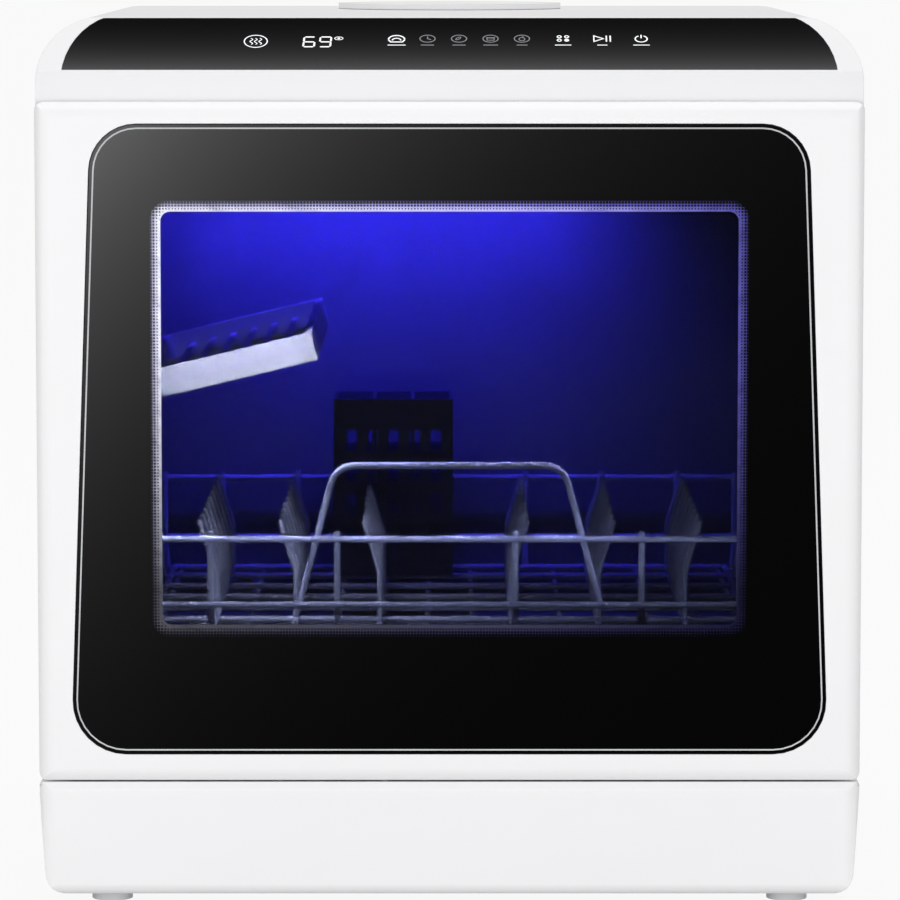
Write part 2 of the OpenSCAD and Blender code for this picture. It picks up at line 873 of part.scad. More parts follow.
module door_frame() {
    room = 4;
    web_y = front_y + 8.5;
    color("white") difference() {
        door_block();
        slab_xz(glass_outline(0), front_y - cut, front_y + glass_t + glass_sink);
        slab_xz(round_box(guide_box, window_r + 3), front_y, frame_back_y);
        box(
            [dish_box[0] - room, web_y, dish_box[1] - room],
            [dish_box[2] + room, frame_back_y + cut, dish_box[3] + room]
        );
        both_sides() {
            hinge_pocket();
            hinge_pin();
        }
        for (p = door_screw_spots) {
            rod([p.x, frame_back_y - 10, p.y], [p.x, frame_back_y + cut, p.y], door_screw_d);
        }
    }
}

module hinge_pins() {
    color("silver") both_sides() hinge_pin();
}

module door_glass() {
    color("black", 0.5)
        slab_xz(glass_outline(0), front_y + glass_sink, front_y + glass_sink + glass_t);
}

module light_guide() {
    y0 = front_y + glass_sink + glass_t;
    color("lavender") difference() {
        slab_xz(round_box(guide_box, window_r + 3), y0, y0 + guide_t);
        slab_xz(round_box(window_box, window_r), y0 - cut, y0 + guide_t + cut);
    }
}

module inner_pane() {
    y0 = frame_back_y - dish_depth;
    color("lightblue", 0.4) slab_xz(round_box(pane_box, window_r), y0, y0 + shell_t);
}

module door_liner() {
    wall = shell_t;
    floor_y = frame_back_y - dish_depth;
    cup = cup_box;
    color("whitesmoke") difference() {
        union() {
            slab_xz(round_box(liner_box, 6), frame_back_y, door_back_y);
            slab_xz(round_box([
                dish_box[0] - wall, dish_box[1] - wall, dish_box[2] + wall, dish_box[3] + wall
            ], 8), floor_y, frame_back_y + cut);
        }
        slab_xz(round_box(dish_box, 6), floor_y + wall, door_back_y + cut);
        slab_xz(round_box(pane_box, window_r), floor_y - cut, floor_y + wall + cut);
        box([cup[0].x, floor_y - cut, cup[0].z], [cup[1].x, floor_y + wall + cut, cup[1].z]);
        for (p = door_screw_spots) {
            rod([p.x, frame_back_y - cut, p.y], [p.x, door_back_y + cut, p.y], door_screw_d);
            rod([p.x, frame_back_y + 1.5, p.y], [p.x, door_back_y + cut, p.y], door_screw_head);
        }
    }
}

module door_screws() {
    color("silver") for (p = door_screw_spots) {
        rod([p.x, frame_back_y - 10, p.y], [p.x, frame_back_y + 2, p.y], door_screw_d);
        rod([p.x, frame_back_y + 1.5, p.y], [p.x, door_back_y - 0.2, p.y], door_screw_head);
    }
}

module latch_tongue() {
    half = latch_half_w;
    y0 = door_back_y;
    high = latch_z + latch_t;
    color("dimgray") difference() {
        box([-half, y0, latch_z], [half, y0 + latch_reach, high]);
        box([-half / 2, y0 + 5, latch_z - cut], [half / 2, y0 + 10, high + cut]);
    }
}

// Cup in the liner, with a rail above and below that hold the sliding lid behind their lips
module detergent_cup() {
    low = cup_box[0];
    high = cup_box[1];
    gap = 0.3;
    rail_t = 2.3;
    lip_h = 1.8;
    lip_t = 1;
    lip_y = cup_face_y + cup_lid_t + 0.4;
    end_x = high.x + cup_lid_travel;
    color("whitesmoke") {
        difference() {
            box(low, high);
            box(low + [cup_wall, cup_wall, cup_wall], high + [-cup_wall, cut, -cup_wall]);
        }
        for (z = [low.z - rail_t - gap, high.z + gap]) {
            box([low.x, cup_face_y, z], [end_x, lip_y + lip_t, z + rail_t]);
        }
        for (z = [low.z - gap, high.z + gap - lip_h]) {
            box([low.x, lip_y, z], [end_x, lip_y + lip_t, z + lip_h]);
        }
    }
}

module detergent_lid() {
    low = cup_box[0];
    high = cup_box[1];
    grip_x = high.x - 8;
    face_y = cup_face_y + cup_lid_t;
    color("lightgray") {
        box([low.x, cup_face_y + 0.2, low.z], [high.x, face_y, high.z]);
        box([grip_x, face_y - 0.2, low.z + 6], [grip_x + 2, face_y + 2, high.z - 6]);
    }
}

// ---- Rack ----

module rack_floor() {
    pitch = 24;
    cross_y = concat([floor_front_y, floor_back_y], [for (k = [0 : 4]) 46 * k - 82]);
    color("slategray") {
        for (x = [-156 : pitch : 156]) {
            rod([x, floor_front_y, floor_z], [x, floor_back_y, floor_z], tine_d);
        }
        for (y = cross_y) {
            rod([-floor_half, y, cross_z], [floor_half, y, cross_z], wire_d);
        }
        for (x = [-floor_half, floor_half]) {
            rod([x, floor_front_y, cross_z], [x, floor_back_y, cross_z], wire_d);
        }
    }
}

// Fence in the XZ plane, centred on the origin's plane: two rails in front of its uprights
module fence(spots, half_l, foot_run) {
    for (z = [rail_low, rail_high]) rod([-half_l, 0, z], [half_l, 0, z], wire_d);
    for (x = spots) {
        pipe([
            [x, foot_run - wire_d, cross_z], [x, fence_weld, rail_low - wire_d],
            [x, fence_weld, rail_high + upright_top]
        ], wire_d, 0.3);
    }
}

module front_fence() {
    spots = concat(upright_x, [-floor_half + 8, floor_half - 8]);
    color("slategray") translate([0, rack_front_y, 0])
        fence(spots, rack_half - wire_d / 2, floor_front_y - rack_front_y);
}

module back_fence() {
    color("slategray") translate([0, rack_back_y, 0]) mirror([0, 1, 0])
        fence([-132 : 44 : 132], rack_half - wire_d / 2, rack_back_y - floor_back_y);
}

module side_fence() {
    color("slategray") translate([rack_half, 0, 0]) rotate([0, 0, 90])
        fence([-100 : 40 : 140], rack_back_y, rack_half - floor_half);
}

module shelf_post(y) {
    eye_d = 10;
    post_d = 5;
    x = shelf_pivot.x;
    z = shelf_pivot.y;
    difference() {
        union() {
            rod([x, y, rail_low], [x, y, z - 2], post_d);
            rod([x, y - 3, z], [x, y + 3, z], eye_d);
        }
        rod([x, y - 5, z], [x, y + 5, z], shelf_rod_d + 2 * run_gap);
    }
}

module side_fence_left() {
    mirror([1, 0, 0]) side_fence();
    color("slategray") for (y = shelf_post_y) shelf_post(y);
}

module side_fence_right() {
    side_fence();
}

// Hoop over the front rails: a bar, and a leg on each side, joined by bends a little thicker than the wire
module rack_hoop() {
    foot = [hoop_half_low, rail_low - 3];
    lean = atan2(hoop_half_low - hoop_half_high, hoop_top - foot.y);
    turn = 90 - lean;
    bend = [hoop_half_high - hoop_r * tan(turn / 2), hoop_top - hoop_r];
    leg = bend + (hoop_r * [cos(lean), sin(lean)]) - weld_run * [sin(lean), -cos(lean)];
    bar = bend.x + weld_run;
    color("slategray") translate([0, rack_front_y + wire_d, 0]) {
        rod([-bar, 0, hoop_top], [bar, 0, hoop_top], wire_d);
        both_sides() {
            translate([bend.x, 0, bend.y]) rotate([90, 0, 0]) rotate([0, 0, lean])
                rotate_extrude(angle = turn) translate([hoop_r, 0]) circle(d = wire_d + bend_extra);
            rod([leg.x, 0, leg.y], [foot.x, 0, foot.y], wire_d);
        }
    }
}

// Row of tines on a carrier wire: each stands straight up, then leans to one side
module tine_row(x, count, lean) {
    last_y = tine_first_y + (count - 1) * tine_pitch;
    rod([x, floor_front_y, carrier_z], [x, last_y + 8, carrier_z], wire_d);
    for (k = [0 : count - 1]) {
        y = tine_first_y + k * tine_pitch;
        wire([[x, y, carrier_z], [x, y, tine_knee], [x + lean, y, tine_top]], tine_d);
    }
}

module plate_tines() {
    color("slategray") for (x = plate_tine_x) tine_row(x, x > -60 ? 7 : 9, -tine_lean);
}

module glass_tines() {
    color("slategray") for (x = glass_tine_x) tine_row(x, 9, tine_lean);
}

module rack_glide(y0, y1) {
    box([floor_half + wire_d / 2, y0, cross_z - 4], [tub_half - 9, y1, cross_z]);
    box([tub_half - 9.2, y0, glide_z[0]], [tub_half - 1.2, y1, glide_z[1]]);
}

module rack_glides() {
    color("dimgray") both_sides() {
        rack_glide(-80, -40);
        rack_glide(90, 140);
    }
}

module cup_shelf() {
    y0 = shelf_y[0];
    y1 = shelf_y[1];
    bar_t = shelf_bar[0];
    half = shelf_bar[1] / 2;
    slat_w = 3.5;
    color("white") translate([shelf_pivot.x, 0, shelf_pivot.y]) rotate([0, -shelf_tilt, 0]) {
        rod([0, y0, 0], [0, y1, 0], shelf_rod_d);
        for (y = [y0, y1 - bar_t]) box([-3.5, y, -half], [shelf_l, y + bar_t, half]);
        for (x = [7, shelf_l - bar_t]) box([x, y0, -half], [x + bar_t, y1, half]);
        for (x = [20 : 12 : 92]) box([x, y0, -3], [x + slat_w, y1, 0]);
        for (y = [-80, -20, 40]) box([8, y, -5], [shelf_l - 1, y + slat_w, -2]);
    }
}

module cutlery_basket() {
    low = basket_box[0];
    high = basket_box[1];
    cell_w = (high.x - low.x - 4 * basket_t) / 3;
    color("darkslategray") difference() {
        box(low, high);
        for (k = [0 : 2]) {
            x = low.x + basket_t + k * (cell_w + basket_t);
            box([x, low.y + basket_t, low.z + basket_t], [x + cell_w, high.y - basket_t, high.z + cut]);
        }
        for (k = [0 : 4], z = [150 : 18 : 204]) {
            x = low.x + 7 + 12 * k;
            box([x, low.y - cut, z], [x + 6, low.y + basket_t + cut, z + 12]);
            box([x, high.y - basket_t - cut, z], [x + 6, high.y + cut, z + 12]);
        }
    }
}

// ---- Spray arms ----

// Spray arm with its bore at the origin and its spray face up
module spray_arm(reach, thick) {
    tip = 11;
    waist = 18;
    tip_r = 10;
    color("gray") difference() {
        union() {
            cylinder(h = thick, r = 22);
            slab_xy(fillet([
                [-reach, -tip, tip_r], [0, -waist, 60], [reach, -tip, tip_r],
                [reach, tip, tip_r], [0, waist, 60], [-reach, tip, tip_r]
            ]), 0, thick);
        }
        translate([0, 0, -cut]) cylinder(h = thick + 2 * cut, r = spindle_r + run_gap);
        for (s = [-1, 1], r = [45 : 25 : reach - 12]) {
            translate([s * r, s * 4, thick - 2]) cylinder(h = 4, r = 1.6);
        }
    }
}

module lower_spray_arm() {
    translate([arm_centre.x, arm_centre.y, 110]) spray_arm(146, 10);
}

module upper_spray_arm() {
    translate([arm_centre.x, arm_centre.y, 383.5]) mirror([0, 0, 1]) spray_arm(138, 10);
}

// ---- Filling lid ----

module fill_lid() {
    y = lid_axis.x;
    z = lid_axis.y;
    skirt_r = port_r - 2;
    half = lid_knuckle_half;
    low = case_h + 0.2;
    color("white") {
        translate([port_centre.x, port_centre.y, low]) cylinder(h = lid_t, r = lid_d / 2);
        translate([port_centre.x, port_centre.y, 0]) difference() {
            translate([0, 0, case_h - 6]) cylinder(h = 6.5, r = skirt_r);
            translate([0, 0, case_h - 7]) cylinder(h = 7.2, r = skirt_r - 2.5);
        }
        box([-half, y - 14, low], [half, y, low + 2.2]);
        rod([-half, y, z], [half, y, z], lid_knuckle_d);
        rod([-lid_pin_half, y, z], [lid_pin_half, y, z], lid_pin_d);
    }
}

// ---- Assembly ----

base_shell();
side_panel_left();
side_panel_right();
back_panel();
top_cover();
control_glass();
key_carrier();
control_board();
tub_floor();
tub_side_left();
tub_side_right();
tub_ceiling();
tub_back_wall();
front_frame();
door_gasket();
rack_rails();
sump();
filter();
wash_pump();
drain_pump();
heater();
spray_hub();
wash_ducts();
feed_pipe();
water_tank();
fill_funnel();
inlet_valve();
drain_spigot();
power_gland();
fan_housing();
tub_lamp();
latch_housing();
hinge_brackets();
feet();
case_screws();
door_frame();
door_glass();
light_guide();
inner_pane();
door_liner();
latch_tongue();
hinge_pins();
detergent_cup();
door_screws();
detergent_lid();
rack_floor();
front_fence();
back_fence();
side_fence_left();
side_fence_right();
rack_hoop();
plate_tines();
glass_tines();
rack_glides();
cup_shelf();
cutlery_basket();
lower_spray_arm();
upper_spray_arm();
fill_lid();
fan_rotor();
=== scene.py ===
import json
import math

import bmesh
import bpy
from mathutils import Matrix, Vector

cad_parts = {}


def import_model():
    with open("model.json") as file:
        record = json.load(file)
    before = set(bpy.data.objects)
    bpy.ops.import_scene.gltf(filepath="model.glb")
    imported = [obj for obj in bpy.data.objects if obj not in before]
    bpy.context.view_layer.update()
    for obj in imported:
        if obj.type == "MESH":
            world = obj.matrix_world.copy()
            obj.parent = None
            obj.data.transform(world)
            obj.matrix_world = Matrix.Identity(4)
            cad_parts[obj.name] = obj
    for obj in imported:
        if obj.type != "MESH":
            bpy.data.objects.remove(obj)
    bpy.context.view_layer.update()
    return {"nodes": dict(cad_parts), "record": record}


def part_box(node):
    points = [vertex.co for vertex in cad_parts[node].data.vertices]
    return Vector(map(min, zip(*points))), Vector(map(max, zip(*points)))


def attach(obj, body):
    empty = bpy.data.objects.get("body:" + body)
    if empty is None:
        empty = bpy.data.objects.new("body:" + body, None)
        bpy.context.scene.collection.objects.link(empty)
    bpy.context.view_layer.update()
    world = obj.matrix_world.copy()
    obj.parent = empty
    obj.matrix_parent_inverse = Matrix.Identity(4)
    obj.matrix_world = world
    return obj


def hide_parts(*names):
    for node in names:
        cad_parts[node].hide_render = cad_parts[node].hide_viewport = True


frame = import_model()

# Lengths on the part are written in millimetres, as in the part's source. Lamps and the camera, which stand
# round it, are placed in metres.
MM = 0.001

# ---- Named places on the part, in millimetres ----

# The door glass: its outer face, its foot and head with half of their widths, and its corner radii.
GLASS_FACE_Y = -217.3
GLASS_LOW, GLASS_HIGH = 79.3, 402.3
GLASS_HALF_LOW, GLASS_HALF_HIGH = 194.0, 182.3
GLASS_R_LOW, GLASS_R_HIGH = 27.5, 24.5

# The window as (left, low, right, high), with its corner radius and that of the light guide round it.
WINDOW = (-147.0, 145.7, 147.0, 357.5)
WINDOW_R = 5.0
GUIDE_R = 9.0

# The print: its thickness, the border's inset from the glass edge and its lap over the light guide, and the
# inset and width of the silver line.
PRINT_T = 0.06
BORDER_INSET, BORDER_LAP = 0.5, 0.4
LINE_INSET, LINE_W = 2.0, 0.75

# The dots of the door print: their spacing, how many rings of them lie round the window, half of the smallest
# dot's side, how much that half grows with each millimetre away from the window, and their thickness.
DOT_PITCH = 1.6
DOT_RINGS = 4
DOT_HALF = 0.20
DOT_GROWTH = 0.10
DOT_T = PRINT_T * 0.8

# The control slope: its angle, and (y, z) of its lower edge.
SLOPE_A = math.radians(33)
SLOPE_LOW = (-198.0, 428.0)

# The rack: wire diameters, the front rails, and the front, half width and cross wires of its floor.
WIRE_D, TINE_D = 3.6, 3.0
RAIL_LOW, RAIL_HIGH = 147.6, 182.3
RACK_FRONT_Y, RACK_HALF = -150.0, 168.0
FLOOR_FRONT_Y, FLOOR_HALF, CROSS_Z = -128.0, 160.0, 130.8


def mm(x, y, z):
    """A point given in millimetres, in metres."""
    return Vector((x, y, z)) * MM


def on_slope(s, n):
    """(y, z) in millimetres on the control slope: s runs up the slope and n stands out of it."""
    y = SLOPE_LOW[0] + s * math.cos(SLOPE_A) - n * math.sin(SLOPE_A)
    z = SLOPE_LOW[1] + s * math.sin(SLOPE_A) + n * math.cos(SLOPE_A)
    return y, z


# ---- Outlines: lists of (a, b) in millimetres, counter-clockwise ----

def fillet(corners, steps=8):
    """A closed outline whose corners, given as (a, b, radius), are rounded."""
    points = []
    count = len(corners)
    for i, (a, b, r) in enumerate(corners):
        corner = Vector((a, b))
        if r <= 0:
            points.append(corner)
            continue
        before = (Vector(corners[i - 1][:2]) - corner).normalized()
        after = (Vector(corners[(i + 1) % count][:2]) - corner).normalized()
        half = before.angle(after) / 2
        centre = corner + (before + after).normalized() * r / math.sin(half)
        start = corner + before * r / math.tan(half) - centre
        turn = start.angle_signed(corner + after * r / math.tan(half) - centre)
        for k in range(steps + 1):
            points.append(centre + Matrix.Rotation(-turn * k / steps, 2) @ start)
    return [(p.x, p.y) for p in points]


def round_box(box, r, grow):
    """A rounded rectangle from (left, low, right, high), grown outwards by a margin."""
    left, low, right, high = box[0] - grow, box[1] - grow, box[2] + grow, box[3] + grow
    r += grow
    return fillet([(left, low, r), (right, low, r), (right, high, r), (left, high, r)])


def glass_outline(inset):
    """The door glass, wider at the foot than at the head, brought in by an inset."""
    low, high = GLASS_LOW + inset, GLASS_HIGH - inset
    half_low, half_high = GLASS_HALF_LOW - inset, GLASS_HALF_HIGH - inset
    return fillet([
        (-half_low, low, GLASS_R_LOW - inset), (half_low, low, GLASS_R_LOW - inset),
        (half_high, high, GLASS_R_HIGH - inset), (-half_high, high, GLASS_R_HIGH - inset),
    ])


def circle(a, b, r, count, stretch=1.0):
    """A circle about (a, b), its second axis stretched."""
    turns = [2 * math.pi * k / count for k in range(count)]
    return [(a + r * math.cos(t), b + r * stretch * math.sin(t)) for t in turns]


# ---- Mesh builders ----

def link_mesh(name, builder, material):
    """Turns a bmesh into an object of the scene that wears a material."""
    mesh = bpy.data.meshes.new(name)
    builder.to_mesh(mesh)
    builder.free()
    mesh.materials.append(material)
    piece = bpy.data.objects.new(name, mesh)
    bpy.context.scene.collection.objects.link(piece)
    return piece


def finish_piece(name, builder, body, material):
    """Turns a bmesh into a piece that rides on a body and wears the given material."""
    bmesh.ops.recalc_face_normals(builder, faces=builder.faces)
    piece = link_mesh(name, builder, material)
    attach(piece, body)
    return piece


def add_plate(builder, outline, place, low, high):
    """A flat plate: place(a, b, n) says where outline point (a, b) lies at height n, from low to high."""
    bottom = [builder.verts.new(place(a, b, low)) for a, b in outline]
    top = [builder.verts.new(place(a, b, high)) for a, b in outline]
    builder.faces.new(bottom)
    builder.faces.new(list(reversed(top)))
    count = len(outline)
    for i in range(count):
        j = (i + 1) % count
        builder.faces.new((bottom[i], top[i], top[j], bottom[j]))


def add_band(builder, outer, inner, place, low, high):
    """A flat closed band between two outlines that have the same number of points."""
    loops = [
        [builder.verts.new(place(a, b, n)) for a, b in outline]
        for outline, n in ((outer, low), (outer, high), (inner, high), (inner, low))
    ]
    count = len(outer)
    for one, other in zip(loops, loops[1:] + loops[:1]):
        for i in range(count):
            j = (i + 1) % count
            builder.faces.new((one[i], one[j], other[j], other[i]))


def add_stroke(builder, points, width, place, low, high, closed):
    """A flat line of even width along a list of points, with mitred corners.

    An open end, and a point that repeats the one beside it, keep the direction of the line there.
    """
    same_point = 1e-9
    least_spread = 0.5
    path = [Vector(p) for p in points]
    count = len(path)
    left, right = [], []
    for i, p in enumerate(path):
        before = path[i - 1] if closed or i > 0 else p
        after = path[(i + 1) % count] if closed or i < count - 1 else p
        first, second = p - before, after - p
        if first.length < same_point:
            first = second
        if second.length < same_point:
            second = first
        along = (first.normalized() + second.normalized()).normalized()
        spread = max(along.dot(first.normalized()), least_spread)
        side = Vector((-along.y, along.x)) * (width / 2 / spread)
        left.append(p + side)
        right.append(p - side)
    if closed:
        add_band(builder, left, right, place, low, high)
    else:
        add_plate(builder, [tuple(p) for p in right + left[::-1]], place, low, high)


def bent(points, radius, steps=6):
    """A path in space whose corners are rounded to a bend radius."""
    path = [Vector(points[0])]
    for i in range(1, len(points) - 1):
        before, corner, after = (Vector(points[k]) for k in (i - 1, i, i + 1))
        u, v = (before - corner).normalized(), (after - corner).normalized()
        reach = radius / math.tan(u.angle(v) / 2)
        start, end = corner + u * reach, corner + v * reach
        for k in range(steps + 1):
            t = k / steps
            path.append(start * (1 - t) ** 2 + corner * 2 * t * (1 - t) + end * t ** 2)
    path.append(Vector(points[-1]))
    return path


def add_wire(builder, path, diameter, sides=14):
    """A round wire swept along a path in millimetres, with domed ends."""
    radius = diameter / 2
    path = [Vector(p) for p in path]
    dome_steps = (15, 40, 65)
    normal = None

    def ring_at(centre, along, r):
        nonlocal normal
        if normal is None:
            normal = along.orthogonal().normalized()
        normal = (normal - along * normal.dot(along)).normalized()
        other = along.cross(normal)
        turns = [2 * math.pi * k / sides for k in range(sides)]
        return [builder.verts.new((centre + (normal * math.cos(t) + other * math.sin(t)) * r) * MM)
                for t in turns]

    def dome_ring(end, inwards, along, degrees):
        turn = math.radians(degrees)
        return ring_at(end + inwards * radius * (1 - math.sin(turn)), along, radius * math.cos(turn))

    first = (path[1] - path[0]).normalized()
    last = (path[-1] - path[-2]).normalized()
    rings = [dome_ring(path[0], first, first, degrees) for degrees in reversed(dome_steps)]
    for i in range(1, len(path) - 1):
        rings.append(ring_at(path[i], (path[i + 1] - path[i - 1]).normalized(), radius))
    rings += [dome_ring(path[-1], -last, last, degrees) for degrees in dome_steps]
    for one, other in zip(rings, rings[1:]):
        for k in range(sides):
            j = (k + 1) % sides
            builder.faces.new((one[k], one[j], other[j], other[k]))
    builder.faces.new(list(reversed(rings[0])))
    builder.faces.new(rings[-1])


def smooth(piece, angle=35.0):
    """Smooth shading with sharp edges kept, for CAD nodes and new pieces alike."""
    piece.data.polygons.foreach_set("use_smooth", [True] * len(piece.data.polygons))
    weld = piece.modifiers.new("weld", "WELD")
    weld.merge_threshold = 0.01 * MM
    split = piece.modifiers.new("split", "EDGE_SPLIT")
    split.split_angle = math.radians(angle)
    even = piece.modifiers.new("even", "WEIGHTED_NORMAL")
    even.mode = "FACE_AREA_WITH_ANGLE"
    even.keep_sharp = True


# ---- Materials ----

class Nodes:
    """A node tree that is built by short calls: add() makes a node and fills its inputs."""

    def __init__(self, tree):
        self.tree = tree
        tree.nodes.clear()

    def add(self, kind, settings=None, **inputs):
        node = self.tree.nodes.new(kind)
        for key, value in (settings or {}).items():
            setattr(node, key, value)
        for key, value in inputs.items():
            self.fill(node.inputs[key.replace("_", " ")], value)
        return node

    def fill(self, socket, value):
        if isinstance(value, bpy.types.NodeSocket):
            self.tree.links.new(value, socket)
        else:
            socket.default_value = value

    def span(self, value, low, high, start=0.35, end=0.65):
        """Maps a value from start..end to low..high."""
        node = self.add("ShaderNodeMapRange", Value=value)
        for key, number in (("From Min", start), ("From Max", end), ("To Min", low), ("To Max", high)):
            node.inputs[key].default_value = number
        return node.outputs["Result"]

    def math(self, operation, first, second=0.0):
        node = self.add("ShaderNodeMath", {"operation": operation})
        self.fill(node.inputs[0], first)
        self.fill(node.inputs[1], second)
        return node.outputs["Value"]

    def mix(self, share, one, other):
        """A colour between two colours, which are the node's inputs 6 and 7 and its output 2."""
        node = self.add("ShaderNodeMix", {"data_type": "RGBA"})
        self.fill(node.inputs["Factor"], share)
        self.fill(node.inputs[6], one)
        self.fill(node.inputs[7], other)
        return node.outputs[2]

    def blend(self, share, one, other):
        """A shader between two shaders."""
        node = self.add("ShaderNodeMixShader", Fac=share)
        self.fill(node.inputs[1], one)
        self.fill(node.inputs[2], other)
        return node.outputs["Shader"]


class Shader(Nodes):
    """A material's node tree; its patterns are fixed to the part."""

    def __init__(self, name):
        self.material = bpy.data.materials.new(name)
        self.material.use_nodes = True
        super().__init__(self.material.node_tree)
        self.place = self.add("ShaderNodeTexCoord").outputs["Object"]

    def noise(self, size_mm, detail=3.0, stretch=(1, 1, 1)):
        """Noise with features of about the given size, from 0 to 1."""
        stretched = self.add("ShaderNodeMapping", Vector=self.place, Scale=stretch).outputs["Vector"]
        node = self.add("ShaderNodeTexNoise", Vector=stretched, Scale=1000.0 / size_mm, Detail=detail)
        return node.outputs["Fac"]

    def bump(self, height, depth_mm, strength, normal=None):
        node = self.add("ShaderNodeBump", Height=height, Distance=depth_mm * MM, Strength=strength)
        if normal is not None:
            self.fill(node.inputs["Normal"], normal)
        return node.outputs["Normal"]

    def rounded(self, radius_mm):
        """(normal, edge): a normal that is rounded at the edges, and how near an edge is, from 0 to 1."""
        soft = self.add("ShaderNodeBevel", {"samples": 4}, Radius=radius_mm * MM).outputs["Normal"]
        flat = self.add("ShaderNodeNewGeometry").outputs["Normal"]
        dot = self.add("ShaderNodeVectorMath", {"operation": "DOT_PRODUCT"})
        self.fill(dot.inputs[0], soft)
        self.fill(dot.inputs[1], flat)
        return soft, self.span(dot.outputs["Value"], 1.0, 0.0, 0.8, 0.995)

    def principled(self, **inputs):
        return self.add("ShaderNodeBsdfPrincipled", **inputs).outputs["BSDF"]

    def out(self, shader):
        """Ends the tree in a shader and gives the finished material."""
        self.add("ShaderNodeOutputMaterial", Surface=shader)
        return self.material


def rgb(r, g, b):
    return (r, g, b, 1.0)


def scaled(colour, by):
    return rgb(*(min(c * by, 1.0) for c in colour[:3]))


def moulded(name, colour, rough, grain_mm=0.5, grain_deep_mm=0.01, coat=0.0, edge_light=1.04):
    """Moulded plastic: a fine grain, faint clouds in the colour, and edges a little lighter and smoother."""
    s = Shader(name)
    soft, edge = s.rounded(0.7)
    clouds = s.span(s.noise(60.0, 4.0), 0.0, 1.0, 0.2, 0.8)
    body = s.mix(clouds, scaled(colour, 0.988), colour)
    edge_toned = s.mix(s.math("MULTIPLY", edge, 0.8), body, scaled(colour, edge_light))
    smudge = s.span(s.noise(25.0, 5.0), rough * 0.9, rough * 1.15, 0.2, 0.8)
    roughness = s.math("SUBTRACT", smudge, s.math("MULTIPLY", edge, rough * 0.25))
    grain = s.bump(s.noise(grain_mm, 2.0), grain_deep_mm, 0.6, soft)
    coated = {"Coat_Weight": coat, "Coat_Roughness": 0.12}
    return s.out(s.principled(Base_Color=edge_toned, Roughness=roughness, Normal=grain, **coated))


def painted(name, colour, rough):
    """Painted sheet: the soft dimples of a spray coat, faint clouds and slightly darker edges."""
    s = Shader(name)
    soft, edge = s.rounded(0.5)
    clouds = s.span(s.noise(90.0, 4.0), 0.0, 1.0, 0.2, 0.8)
    body = s.mix(clouds, scaled(colour, 0.985), colour)
    edge_toned = s.mix(s.math("MULTIPLY", edge, 0.5), body, scaled(colour, 0.86))
    roughness = s.span(s.noise(18.0, 5.0), rough * 0.88, rough * 1.18, 0.2, 0.8)
    dimples = s.bump(s.noise(2.2, 2.0), 0.03, 0.5, soft)
    return s.out(s.principled(Base_Color=edge_toned, Roughness=roughness, Normal=dimples))


def galvanised(name, colour):
    """Zinc sheet with broad spangles."""
    s = Shader(name)
    cells = s.add("ShaderNodeTexVoronoi", Vector=s.place, Scale=90.0)
    tint = s.mix(s.span(cells.outputs["Distance"], 0.0, 1.0, 0.0, 0.9), scaled(colour, 0.86), colour)
    roughness = s.span(s.noise(9.0, 4.0), 0.36, 0.5)
    relief = s.bump(s.noise(4.0, 3.0), 0.02, 0.5)
    return s.out(s.principled(Base_Color=tint, Roughness=roughness, Metallic=0.55, Normal=relief))


def wet_liner(name, colour):
    """Satin liner plastic of the tub, with dried water marks."""
    s = Shader(name)
    spots = s.add("ShaderNodeTexVoronoi", {"feature": "SMOOTH_F1"}, Vector=s.place, Scale=120.0)
    marks = s.span(spots.outputs["Distance"], 1.0, 0.0, 0.05, 0.22)
    body = s.mix(s.span(s.noise(70.0, 4.0), 0.0, 1.0, 0.2, 0.8), scaled(colour, 0.92), colour)
    tint = s.mix(s.math("MULTIPLY", marks, 0.18), body, scaled(colour, 1.35))
    roughness = s.math("ADD", s.span(s.noise(20.0, 4.0), 0.26, 0.36), s.math("MULTIPLY", marks, 0.12))
    grain = s.bump(s.noise(1.2, 2.0), 0.012, 0.5)
    return s.out(s.principled(Base_Color=tint, Roughness=roughness, Normal=grain))


def enamel(name, painted_sheen, bright_at, run_mm, rough):
    """Black enamel with a painted sheen: a grey painted reflection in its colour that fades away from one
    place.

    The painted sheen has its full colour at bright_at, (x, z) in millimetres. It falls to 1/e over each
    run_mm, to the right and upwards; a negative run falls to the left or downwards, and a run of 0 leaves
    that axis out.
    Finger smears show only in the gloss.
    """
    s = Shader(name)
    place = s.add("ShaderNodeSeparateXYZ", Vector=s.place).outputs
    # Share of the painted sheen: 1 at bright_at, falling away exponentially, a little uneven.
    fade = 0.0
    for axis, start, run in zip("XZ", bright_at, run_mm):
        if run:
            away = s.math("MULTIPLY", s.math("SUBTRACT", place[axis], start * MM), 1000.0 / run)
            fade = s.math("ADD", away, fade)
    level = s.math("EXPONENT", s.math("MULTIPLY", fade, -1.0))
    cloudy = s.math("MULTIPLY", level, s.span(s.noise(120.0, 3.0), 0.97, 1.03, 0.2, 0.8))
    black = rgb(0.0015, 0.0015, 0.0016)
    # Painted reflection: the grey sheen colour is mixed into the black base colour by that share.
    tint = s.mix(cloudy, black, painted_sheen)
    roughness = s.span(s.noise(45.0, 6.0, (1.0, 1.0, 0.35)), rough * 0.85, rough * 1.2, 0.2, 0.8)
    waves = s.bump(s.noise(160.0, 1.0), 0.02, 0.3)
    shader = s.principled(Base_Color=tint, Roughness=roughness, Normal=waves, Specular_IOR_Level=0.005)
    return s.out(shader)


